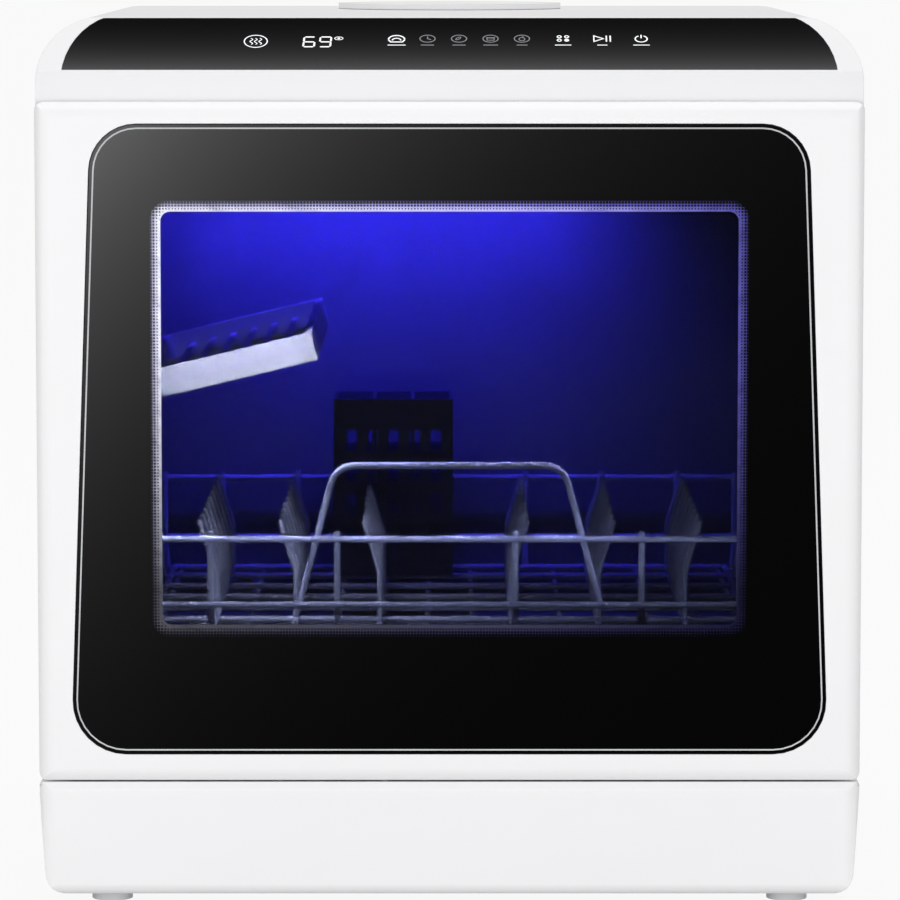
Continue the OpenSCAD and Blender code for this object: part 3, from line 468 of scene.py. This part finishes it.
def window_glass(name, tint, gloss_rough):
    """Thin clear or smoked glass: light passes straight through the tint, and a little of it is mirrored."""
    s = Shader(name)
    smears = s.noise(55.0, 6.0)
    shade = s.mix(s.span(smears, 0.0, 1.0), scaled(tint, 0.97), tint)
    clear = s.add("ShaderNodeBsdfTransparent", Color=shade).outputs["BSDF"]
    roughness = s.span(smears, gloss_rough * 0.7, gloss_rough * 1.4)
    gloss = s.add("ShaderNodeBsdfGlossy", Roughness=roughness, Color=rgb(1, 1, 1)).outputs["BSDF"]
    share = s.math("MULTIPLY", s.add("ShaderNodeFresnel", IOR=1.45).outputs["Fac"], 0.06)
    return s.out(s.blend(share, clear, gloss))


def glowing_guide(name, near_colour, far_colour, strength):
    """Light guide round the window: bright and white at the upper left.

    It turns violet towards the right and away from the window, and is nearly dark along its foot.
    """
    s = Shader(name)
    place = s.add("ShaderNodeSeparateXYZ", Vector=s.place).outputs
    x, z = place["X"], place["Z"]
    left, low, right, high = (edge * MM for edge in WINDOW)
    beside = s.math("SUBTRACT", s.math("ABSOLUTE", x), right)
    from_middle = s.math("ABSOLUTE", s.math("SUBTRACT", z, (low + high) / 2))
    above = s.math("SUBTRACT", from_middle, (high - low) / 2)
    gap = s.math("MAXIMUM", beside, above)
    rim = 5.8 * MM
    across = s.span(x, 1.0, 0.32, 35 * MM, right)
    upward = s.span(z, 0.08, 1.0, 165 * MM, 300 * MM)
    level = s.math("MULTIPLY", across, upward)
    level = s.math("MULTIPLY", level, s.span(gap, 1.0, 0.35, 1.0 * MM, rim))
    level = s.math("MULTIPLY", level, s.span(s.noise(14.0, 2.0), 0.94, 1.06, 0.2, 0.8))
    hue = s.math("ADD", s.span(x, 0.0, 1.0, left, right), s.span(gap, 0.0, 0.5, 1.5 * MM, rim))
    glow = s.mix(level, rgb(0.0, 0.0, 0.0), s.mix(hue, near_colour, far_colour))
    # Painted light: the base colour runs from a dark unlit copy to a pale lit copy with the strength of the
    # glow.
    unlit, lit = rgb(0.03, 0.03, 0.035), rgb(0.6, 0.6, 0.62)
    body = s.mix(level, unlit, lit)
    shader = s.principled(Base_Color=body, Roughness=0.5, Emission_Color=glow, Emission_Strength=strength)
    return s.out(shader)


def lamp_strip(name, colour, strength):
    """Lit lamp cover: rows of diodes show as brighter spots."""
    s = Shader(name)
    spots = s.add("ShaderNodeTexWave", Vector=s.place, Scale=30.0, Distortion=0.0)
    glow = s.mix(s.span(spots.outputs["Fac"], 0.0, 1.0, 0.2, 0.9), scaled(colour, 0.6), colour)
    cover = rgb(0.6, 0.6, 0.8)
    shader = s.principled(Base_Color=cover, Roughness=0.45, Emission_Color=glow, Emission_Strength=strength)
    return s.out(shader)


def metal(name, colour, rough, stretch=(1, 1, 12)):
    """Brushed metal with fine lines and a darker film in places."""
    s = Shader(name)
    lines = s.noise(1.6, 3.0, stretch)
    tint = s.mix(s.span(s.noise(30.0, 3.0), 0.0, 1.0), scaled(colour, 0.85), colour)
    roughness = s.span(lines, rough * 0.8, rough * 1.3)
    relief = s.bump(lines, 0.008, 0.5)
    return s.out(s.principled(Base_Color=tint, Metallic=1.0, Roughness=roughness, Normal=relief))


def coated_wire(name, colour):
    """Nylon dipped wire: a soft sheen over the slight lumps of a dipped coat."""
    s = Shader(name)
    body = s.mix(s.span(s.noise(16.0, 4.0), 0.0, 1.0), scaled(colour, 0.94), scaled(colour, 1.04))
    roughness = s.span(s.noise(6.0, 3.0), 0.34, 0.44, 0.2, 0.8)
    lumps = s.bump(s.noise(5.0, 2.0), 0.012, 0.25)
    coated = {"Coat_Weight": 0.4, "Coat_Roughness": 0.15}
    return s.out(s.principled(Base_Color=body, Roughness=roughness, Normal=lumps, **coated))


def rubber(name, colour):
    """Dull rubber with a fine tooth and worn, paler patches."""
    s = Shader(name)
    body = s.mix(s.span(s.noise(12.0, 5.0), 0.0, 1.0), scaled(colour, 0.8), scaled(colour, 1.25))
    roughness = s.span(s.noise(5.0, 4.0), 0.62, 0.82)
    tooth = s.bump(s.noise(0.8, 2.0), 0.02, 0.6)
    return s.out(s.principled(Base_Color=body, Roughness=roughness, Normal=tooth))


def milky(name, colour):
    """Translucent tank plastic with the flow marks of blow moulding."""
    s = Shader(name)
    flow = s.noise(40.0, 3.0, (1, 1, 0.3))
    body = s.mix(s.span(flow, 0.0, 1.0), scaled(colour, 0.9), colour)
    relief = s.bump(flow, 0.2, 0.4)
    cloudy = {"Subsurface_Weight": 0.4, "Subsurface_Scale": 4 * MM}
    return s.out(s.principled(Base_Color=body, Roughness=0.4, Normal=relief, **cloudy))


def circuit_board(name, colour):
    """Green board with paler copper tracks under the lacquer."""
    s = Shader(name)
    tracks = s.add("ShaderNodeTexBrick", Vector=s.place, Scale=260.0)
    lines = s.span(tracks.outputs["Fac"], 0.0, 1.0, 0.0, 1.0)
    tint = s.mix(lines, colour, scaled(colour, 1.9))
    roughness = s.span(s.noise(8.0), 0.3, 0.4)
    return s.out(s.principled(Base_Color=tint, Roughness=roughness, Normal=s.bump(lines, 0.03, 0.5)))


def printed(name, colour, strength):
    """Printed sign that is lit from behind, a little uneven as screen print is."""
    s = Shader(name)
    ink = s.mix(s.span(s.noise(1.5, 3.0), 0.0, 1.0), scaled(colour, 0.88), colour)
    shader = s.principled(Base_Color=ink, Roughness=0.4, Emission_Color=ink, Emission_Strength=strength)
    return s.out(shader)


MATERIALS = {
    "white_plastic": moulded("white_plastic", rgb(0.87, 0.87, 0.88), 0.30, coat=0.15),
    "white_steel": painted("white_steel", rgb(0.86, 0.86, 0.87), 0.38),
    "grey_steel": galvanised("grey_steel", rgb(0.62, 0.63, 0.65)),
    "tub_plastic": wet_liner("tub_plastic", rgb(0.13, 0.132, 0.18)),
    # Painted sheen on the control glass: strongest along its lower edge, fading up the slope.
    "black_glass": enamel("black_glass", rgb(0.08, 0.08, 0.081), (0.0, 428.0), (0.0, 7.3), 0.30),
    "clear_glass": window_glass("clear_glass", rgb(0.93, 0.94, 0.96), 0.04),
    "light_diffuser": glowing_guide("light_diffuser", rgb(1.0, 0.96, 0.98), rgb(0.29, 0.25, 0.97), 3.7),
    "dark_plastic": moulded("dark_plastic", rgb(0.03, 0.03, 0.034), 0.5, 0.8, 0.03, edge_light=1.8),
    "board_green": circuit_board("board_green", rgb(0.02, 0.11, 0.05)),
    "grey_plastic": moulded("grey_plastic", rgb(0.30, 0.31, 0.34), 0.45, 0.7, 0.02, edge_light=1.2),
    "tank_plastic": milky("tank_plastic", rgb(0.70, 0.76, 0.82)),
    "seal_rubber": rubber("seal_rubber", rgb(0.035, 0.035, 0.038)),
    "steel": metal("steel", rgb(0.62, 0.63, 0.65), 0.3),
    "coated_wire": coated_wire("coated_wire", rgb(0.45, 0.47, 0.55)),
}
# Painted sheen on the door print: strongest near the glass's upper left corner, fading to the right and down.
DOOR_ENAMEL = enamel("door_enamel", rgb(0.104, 0.104, 0.105), (-172.0, 398.0), (95.0, -95.0), 0.30)
SMOKED = window_glass("smoked_glass", rgb(0.30, 0.31, 0.35), 0.05)
LAMP = lamp_strip("lamp_cover", rgb(0.10, 0.07, 1.0), 6.0)
FOOT_GREY = moulded("foot_rubber", rgb(0.68, 0.68, 0.69), 0.55, 0.8, 0.02)
# Painted light: the basket's near black is lifted and tinted blue for the tub lamp's blue glow on it.
BASKET_PAINTED_BLUE = moulded("basket_plastic", rgb(0.05, 0.05, 0.10), 0.4, 0.8, 0.03, edge_light=1.8)
# Painted shade: the top cover wears a greyer copy of the white plastic, for the shaded band under the control
# glass.
COVER_SHADED_WHITE = moulded("cover_plastic_shaded", rgb(0.80, 0.80, 0.81), 0.30, coat=0.15)
SHELF_WHITE = moulded("shelf_plastic", rgb(0.74, 0.74, 0.78), 0.35, edge_light=1.1)
SILVER = metal("silver_print", rgb(0.72, 0.73, 0.75), 0.28, (1, 1, 1))
SIGN_BRIGHT = printed("sign_bright", rgb(0.85, 0.86, 0.88), 0.35)
SIGN_DIM = printed("sign_dim", rgb(0.22, 0.22, 0.24), 0.2)


def dress_nodes():
    """Gives every CAD node its slot's material and smooth shading."""
    slots = {part["node"]: part["material_slot"] for part in frame["record"]["subparts"]}
    special = {
        "door_glass": SMOKED,
        "tub_lamp": LAMP,
        "cup_shelf": SHELF_WHITE,
        "feet": FOOT_GREY,
        "cutlery_basket": BASKET_PAINTED_BLUE,
        "top_cover": COVER_SHADED_WHITE,
    }
    for name, node in frame["nodes"].items():
        node.data.materials.clear()
        node.data.materials.append(special.get(name, MATERIALS[slots[name]]))
        smooth(node)


# ---- Print on the door glass ----

def on_door(a, b, n):
    """A point of the door print: n millimetres in front of the glass."""
    return mm(a, GLASS_FACE_Y - n, b)


def print_border():
    """Black enamel from the glass edge in to the light guide."""
    builder = bmesh.new()
    low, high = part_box("light_guide")
    guide = (low.x / MM, low.z / MM, high.x / MM, high.z / MM)
    outer, inner = glass_outline(BORDER_INSET), round_box(guide, GUIDE_R, -BORDER_LAP)
    add_band(builder, outer, inner, on_door, 0.0, PRINT_T)
    return finish_piece("print_border", builder, "door", DOOR_ENAMEL)


def print_line():
    """Thin silver line that follows the glass edge, printed on the border."""
    builder = bmesh.new()
    outer, inner = glass_outline(LINE_INSET), glass_outline(LINE_INSET + LINE_W)
    add_band(builder, outer, inner, on_door, PRINT_T, 1.5 * PRINT_T)
    return finish_piece("print_line", builder, "door", SILVER)


def round_box_gap(x, z, box, r):
    """How far (x, z) lies outside a rounded rectangle; negative inside."""
    mid_x, mid_z = (box[0] + box[2]) / 2, (box[1] + box[3]) / 2
    dx = abs(x - mid_x) - ((box[2] - box[0]) / 2 - r)
    dz = abs(z - mid_z) - ((box[3] - box[1]) / 2 - r)
    return math.hypot(max(dx, 0), max(dz, 0)) + min(max(dx, dz), 0) - r


def print_dots():
    """Square dots that grow from the window's edge outwards until they run into the black border."""
    builder = bmesh.new()
    corners = ((-1, -1), (1, -1), (1, 1), (-1, 1))
    left, low, right, high = WINDOW
    columns = round((right - left) / DOT_PITCH)
    rows = round((high - low) / DOT_PITCH)
    for i in range(-DOT_RINGS, columns + DOT_RINGS + 1):
        for j in range(-DOT_RINGS, rows + DOT_RINGS + 1):
            x = left + (right - left) * i / columns
            z = low + (high - low) * j / rows
            gap = round_box_gap(x, z, WINDOW, WINDOW_R)
            if gap > DOT_PITCH / 2:
                half = DOT_HALF + DOT_GROWTH * min(gap, DOT_RINGS * DOT_PITCH)
                dot = [(x + half * u, z + half * v) for u, v in corners]
                add_plate(builder, dot, on_door, 0.0, DOT_T)
    return finish_piece("print_dots", builder, "door", DOOR_ENAMEL)


# ---- Signs on the control glass: places are (a, b), a across it and b up the slope ----

# The middle of the signs on the keys, the oval round a programme's sign, and the bar under each key.
SIGN_B = 29.6
OVAL_HALF_W, OVAL_HALF_H, OVAL_LINE = 3.9, 3.2, 0.5
BAR_LOW, BAR_HIGH = 23.5, 24.1

# The digits: their foot, width and height, and which of the segments a to g each of them lights.
DIGIT_LOW, DIGIT_W, DIGIT_H = 21.8, 6.5, 9.8
SEGMENTS = {
    "0": "abcdef", "1": "bc", "2": "abged", "3": "abgcd", "4": "fgbc",
    "5": "afgcd", "6": "afgedc", "7": "abc", "8": "abcdefg", "9": "abcdfg",
}


def on_panel(a, b, n):
    """A point of the panel print: a across, b up the slope, n millimetres above the glass."""
    y, z = on_slope(b, n)
    return mm(a, y, z)


def add_digit(builder, digit, left):
    """A leaning seven segment digit whose segments have pointed ends."""
    bar, gap = 0.95, 0.18
    lean = 0.06
    ends = {
        "a": ((0, 1), (1, 1)), "b": ((1, 1), (1, 0.5)), "c": ((1, 0.5), (1, 0)), "d": ((0, 0), (1, 0)),
        "e": ((0, 0.5), (0, 0)), "f": ((0, 1), (0, 0.5)), "g": ((0, 0.5), (1, 0.5)),
    }
    for name in SEGMENTS[digit]:
        p, q = (Vector((u * (DIGIT_W - bar) + bar / 2, v * (DIGIT_H - bar) + bar / 2)) for u, v in ends[name])
        along = (q - p).normalized()
        side = Vector((-along.y, along.x)) * bar / 2
        p, q = p + along * gap, q - along * gap
        tip = along * bar / 2
        outline = [p, p + tip + side, q - tip + side, q, q - tip - side, p + tip - side]
        leaning = [(left + v.x + v.y * lean, DIGIT_LOW + v.y) for v in outline]
        add_plate(builder, leaning, on_panel, 0.0, PRINT_T)


def add_ring(builder, a, b, half_w, half_h, width):
    """An oval line."""
    add_stroke(builder, circle(a, b, half_w, 36, half_h / half_w), width, on_panel, 0.0, PRINT_T, closed=True)


def arc(a, b, r, start, end, stretch=1.0, count=20):
    """Points of an arc, from start to end in degrees."""
    turns = [math.radians(start + (end - start) * k / count) for k in range(count + 1)]
    return [(a + r * math.cos(t), b + r * stretch * math.sin(t)) for t in turns]


def line(builder, points, width, closed=False):
    """A line of a sign."""
    add_stroke(builder, points, width, on_panel, 0.0, PRINT_T, closed)


def oval(builder, a):
    """The thin oval round a programme's sign."""
    add_ring(builder, a, SIGN_B, OVAL_HALF_W, OVAL_HALF_H, OVAL_LINE)


def caption_bar(builder, a, half):
    """A short bar under a key, where it lights up."""
    bar = [(a - half, BAR_LOW), (a + half, BAR_LOW), (a + half, BAR_HIGH), (a - half, BAR_HIGH)]
    add_plate(builder, bar, on_panel, 0.0, PRINT_T)


def finish_sign(name, builder, ink):
    """Turns a sign's shapes into a piece on the case."""
    finish_piece(name, builder, "casing", ink)


def drying_sign():
    """Oval key with three waves of warm air."""
    builder = bmesh.new()
    a, b = -99.5, 27.2
    pitch, swing, foot = 2.3, 0.7, b - 2.8
    add_ring(builder, a, b, 5.9, 5.5, 0.6)
    for k in (-1, 0, 1):
        wave = [(a + pitch * k + swing * math.sin(t * 0.7), foot + 0.4 * t) for t in range(15)]
        line(builder, wave, 0.5)
    finish_sign("sign_drying", builder, SIGN_BRIGHT)


def panel_digits():
    """Two digits for the minutes left and a small lit mark beside them."""
    builder = bmesh.new()
    add_digit(builder, "6", -75.6)
    add_digit(builder, "9", -67.3)
    a, b = -56.9, 29.9
    add_ring(builder, a, b, 2.1, 1.3, 0.45)
    add_plate(builder, circle(a, b, 0.7, 12), on_panel, 0.0, PRINT_T)
    finish_sign("panel_digits", builder, SIGN_BRIGHT)


def bowl_sign():
    """Two nested bowls, for the everyday programme."""
    builder = bmesh.new()
    a, b = -27.2, SIGN_B
    line(builder, arc(a, b - 0.6, 4.1, 0, 180, 0.85), 0.8)
    line(builder, [(a - 4.2, b - 1.0), (a - 3.0, b - 3.0), (a + 3.0, b - 3.0), (a + 4.2, b - 1.0)], 0.8)
    line(builder, arc(a, b - 1.6, 2.2, 0, 180, 0.9), 0.7)
    caption_bar(builder, a, 4.6)
    finish_sign("sign_bowls", builder, SIGN_BRIGHT)


def clock_sign():
    """Clock hands in an oval, for the short programme."""
    builder = bmesh.new()
    a, b = -11.3, SIGN_B
    oval(builder, a)
    line(builder, [(a, b + 2.0), (a, b), (a + 1.8, b - 0.9)], 0.5)
    caption_bar(builder, a, 3.4)
    finish_sign("sign_clock", builder, SIGN_DIM)


def leaf_sign():
    """Leaf in an oval, for the sparing programme."""
    builder = bmesh.new()
    a, b = 4.9, SIGN_B
    oval(builder, a)
    leaf = arc(a + 0.9, b - 1.1, 2.6, 90, 180, 1.0, 8) + arc(a - 1.7, b + 1.5, 2.6, 270, 360, 1.0, 8)
    line(builder, leaf, 0.45, closed=True)
    caption_bar(builder, a, 3.4)
    finish_sign("sign_leaf", builder, SIGN_DIM)


def pot_sign():
    """Pot in an oval, for the strong programme."""
    builder = bmesh.new()
    a, b = 21.1, SIGN_B
    oval(builder, a)
    body = [(a - 1.8, b + 0.6), (a - 1.8, b - 1.4), (a + 1.8, b - 1.4), (a + 1.8, b + 0.6)]
    line(builder, body, 0.45, closed=True)
    line(builder, [(a - 2.4, b + 0.9), (a + 2.4, b + 0.9)], 0.45)
    caption_bar(builder, a, 3.8)
    finish_sign("sign_pot", builder, SIGN_DIM)


def fruit_sign():
    """Round fruit with its stalk in an oval, for washing fruit."""
    builder = bmesh.new()
    a, b = 37.2, SIGN_B
    oval(builder, a)
    line(builder, circle(a, b - 0.4, 1.5, 18), 0.45, closed=True)
    line(builder, [(a, b + 1.0), (a + 0.7, b + 2.2)], 0.45)
    caption_bar(builder, a, 2.8)
    finish_sign("sign_fruit", builder, SIGN_DIM)


def mode_sign():
    """Four small shapes, for the mode key."""
    builder = bmesh.new()
    a, b = 58.3, SIGN_B + 0.2
    for side in (-1, 1):
        line(builder, circle(a + 1.9 * side, b + 1.5, 1.0, 14), 0.6, closed=True)
    line(builder, circle(a - 1.9, b - 1.6, 1.0, 14), 0.6, closed=True)
    add_plate(builder, circle(a + 1.9, b - 1.6, 1.25, 14), on_panel, 0.0, PRINT_T)
    caption_bar(builder, a, 4.2)
    finish_sign("sign_mode", builder, SIGN_BRIGHT)


def start_sign():
    """Triangle and two bars, for start and pause."""
    builder = bmesh.new()
    a, b = 78.4, SIGN_B
    line(builder, [(a - 4.2, b + 2.6), (a - 4.2, b - 2.6), (a + 0.6, b)], 0.65, closed=True)
    for x in (2.2, 4.2):
        line(builder, [(a + x, b - 2.7), (a + x, b + 2.7)], 0.75)
    caption_bar(builder, a, 2.6)
    finish_sign("sign_start", builder, SIGN_BRIGHT)


def power_sign():
    """Open circle with a bar, for on and off."""
    builder = bmesh.new()
    a, b = 98.5, SIGN_B
    line(builder, arc(a, b - 0.2, 3.1, 115, 425, 0.92), 0.7)
    line(builder, [(a, b + 0.4), (a, b + 3.4)], 0.7)
    caption_bar(builder, a, 4.2)
    finish_sign("sign_power", builder, SIGN_BRIGHT)


# ---- Rack wires with real bends ----

# The uprights behind the front rails: the inner ones, the outer pair, and their rise over the upper rail.
UPRIGHTS = (-125.4, -59, 34.5, 100.8)
OUTER_UPRIGHT = FLOOR_HALF - 8
UPRIGHT_RISE = 4.2

# The tines, as (x, number of tines) for each row, the first tine's y, their spacing and their sideways lean.
PLATE_ROWS = ((-124.6, 9), (-81.7, 9), (-37.1, 7))
GLASS_ROWS = ((33, 9), (79, 9), (125, 9))
TINE_FIRST_Y, TINE_PITCH, TINE_LEAN = -112.0, 28.0, 8.5


def finish_wires(name, builder, node):
    """Turns swept wires into a piece of the rack that replaces a CAD node."""
    piece = finish_piece(name, builder, "rack", MATERIALS["coated_wire"])
    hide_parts(node)
    smooth(piece, 50)


def front_wires():
    """Two rails and the uprights behind them, which turn back under the rack."""
    builder = bmesh.new()
    rail_end = RACK_HALF - WIRE_D / 2
    for z in (RAIL_LOW, RAIL_HIGH):
        add_wire(builder, [(-rail_end, RACK_FRONT_Y, z), (rail_end, RACK_FRONT_Y, z)], WIRE_D)
    behind = RACK_FRONT_Y + 0.8 * WIRE_D
    top = RAIL_HIGH + UPRIGHT_RISE
    bend = 7.0
    for x in (*UPRIGHTS, -OUTER_UPRIGHT, OUTER_UPRIGHT):
        path = [(x, FLOOR_FRONT_Y - WIRE_D, CROSS_Z), (x, behind, RAIL_LOW - WIRE_D), (x, behind, top)]
        add_wire(builder, bent(path, bend), WIRE_D)
    finish_wires("front_wires", builder, "front_fence")


def hoop_wire():
    """One wire bent into a wide hoop over the front rails."""
    builder = bmesh.new()
    y = RACK_FRONT_Y + WIRE_D
    half_low, half_high = 79.5, 59.7
    foot, top = RAIL_LOW - 3, 220.7
    bend = 14.0
    path = [(-half_low, y, foot), (-half_high, y, top), (half_high, y, top), (half_low, y, foot)]
    add_wire(builder, bent(path, bend, 10), WIRE_D, 16)
    finish_wires("hoop_wire", builder, "rack_hoop")


def tine_wires(name, node, rows, lean):
    """Rows of tines that rise from a carrier wire and lean to one side."""
    builder = bmesh.new()
    foot, knee, top = CROSS_Z + WIRE_D, 160.0, 188.0
    overhang, bend = 8, 12.0
    for x, count in rows:
        last_y = TINE_FIRST_Y + (count - 1) * TINE_PITCH
        add_wire(builder, [(x, FLOOR_FRONT_Y, foot), (x, last_y + overhang, foot)], WIRE_D)
        for k in range(count):
            y = TINE_FIRST_Y + k * TINE_PITCH
            add_wire(builder, bent([(x, y, foot), (x, y, knee), (x + lean, y, top)], bend), TINE_D, 12)
    finish_wires(name, builder, node)


# ---- Room ----

def floor_paint(white_share):
    """Pale paint that the camera, gloss and glass see mixed with a share of plain white."""
    s = Shader("floor_paint")
    clouds = s.span(s.noise(400.0, 3.0), 0.0, 1.0)
    shade = s.mix(clouds, rgb(0.5, 0.5, 0.5), rgb(0.52, 0.52, 0.52))
    paint = s.principled(Base_Color=shade, Roughness=0.8)
    path = s.add("ShaderNodeLightPath").outputs
    mirrored = s.math("MAXIMUM", path["Is Glossy Ray"], path["Is Transmission Ray"])
    seen = s.math("MAXIMUM", path["Is Camera Ray"], mirrored)
    white = s.add("ShaderNodeEmission", Color=rgb(1, 1, 1), Strength=1.0).outputs["Emission"]
    return s.out(s.blend(s.math("MULTIPLY", seen, white_share), paint, white))


def floor():
    """A square floor, 60 m to each side of the object, so that every view ends on it."""
    builder = bmesh.new()
    half = 60.0
    corners = [(-half, -half), (half, -half), (half, half), (-half, half)]
    builder.faces.new([builder.verts.new((x, y, 0.0)) for x, y in corners])
    link_mesh("floor", builder, floor_paint(0.92))


def world(strength):
    """Even studio light; rays from the camera and through glass see plain white."""
    room = bpy.data.worlds.new("room")
    bpy.context.scene.world = room
    room.use_nodes = True
    sky = Nodes(room.node_tree)
    path = sky.add("ShaderNodeLightPath").outputs
    seen = sky.math("MAXIMUM", path["Is Camera Ray"], path["Is Transmission Ray"])
    level = sky.span(seen, strength, 1.0, 0.0, 1.0)
    back = sky.add("ShaderNodeBackground", Color=rgb(1, 1, 1), Strength=level)
    sky.add("ShaderNodeOutputWorld", Surface=back.outputs["Background"])


def area_light(name, place, target, size, power, colour=(1, 1, 1), spread=180.0):
    """Rectangular lamp at a place, turned to a target; lengths in metres and the spread in degrees."""
    data = bpy.data.lights.new(name, "AREA")
    data.shape = "RECTANGLE"
    data.size, data.size_y = size
    data.energy = power
    data.color = colour
    data.spread = math.radians(spread)
    lamp = bpy.data.objects.new(name, data)
    bpy.context.scene.collection.objects.link(lamp)
    lamp.location = place
    lamp.rotation_euler = (Vector(target) - Vector(place)).to_track_quat("-Z", "Y").to_euler()
    lamp.visible_camera = False
    lamp.visible_glossy = False


def lights():
    """Soft studio lamps outside, the blue lamp of the tub, and three thin lamps at its shelf and its rack."""
    world(0.66)
    area_light("softbox_left", (-0.8, -2.3, 0.5), (0, -0.2, 0.25), (0.6, 0.6), 9)
    area_light("softbox_front", (0.3, -3.6, 0.32), (0, 0, 0.25), (1.2, 0.6), 38)
    area_light("softbox_top", (0.2, 0.8, 2.6), (0, 0.1, 0.3), (1.6, 1.6), 27)
    blue, pale_blue = (0.06, 0.04, 1.0), (0.80, 0.82, 1.0)
    lilac, off_white = (0.72, 0.68, 1.0), (1.0, 0.97, 1.0)
    area_light("tub_light", (-0.04, 0.095, 0.388), (-0.04, 0.158, 0.305), (0.24, 0.02), 4.0, blue, 100)
    area_light("shelf_light", (-0.11, -0.186, 0.352), (-0.11, -0.14, 0.24), (0.12, 0.01), 0.52, off_white, 70)
    area_light("rail_light", (-0.05, -0.15, 0.386), (-0.05, -0.15, 0.15), (0.28, 0.01), 0.25, lilac, 9)
    area_light("rack_light", (0.0, -0.194, 0.19), (0.0, -0.15, 0.178), (0.30, 0.02), 0.22, pale_blue, 130)


def camera():
    """View of the front from 2.6 m, a little from above, through a long lens."""
    tilt = 5.881
    data = bpy.data.cameras.new("camera")
    data.sensor_width = 36.0
    data.lens = 205.2
    data.clip_end = 200.0
    eye = bpy.data.objects.new("camera", data)
    bpy.context.scene.collection.objects.link(eye)
    eye.location = (0.00025, -2.8175, 0.504)
    eye.rotation_euler = (math.radians(90 - tilt), 0, 0)
    bpy.context.scene.camera = eye


def build():
    """Makes the whole scene, the camera first."""
    camera()
    dress_nodes()
    for piece in (print_border(), print_line(), print_dots()):
        smooth(piece)
    drying_sign()
    panel_digits()
    bowl_sign()
    clock_sign()
    leaf_sign()
    pot_sign()
    fruit_sign()
    mode_sign()
    start_sign()
    power_sign()
    front_wires()
    hoop_wire()
    tine_wires("plate_tine_wires", "plate_tines", PLATE_ROWS, -TINE_LEAN)
    tine_wires("glass_tine_wires", "glass_tines", GLASS_ROWS, TINE_LEAN)
    floor()
    lights()
    bpy.context.scene.view_settings.view_transform = "Standard"


build()
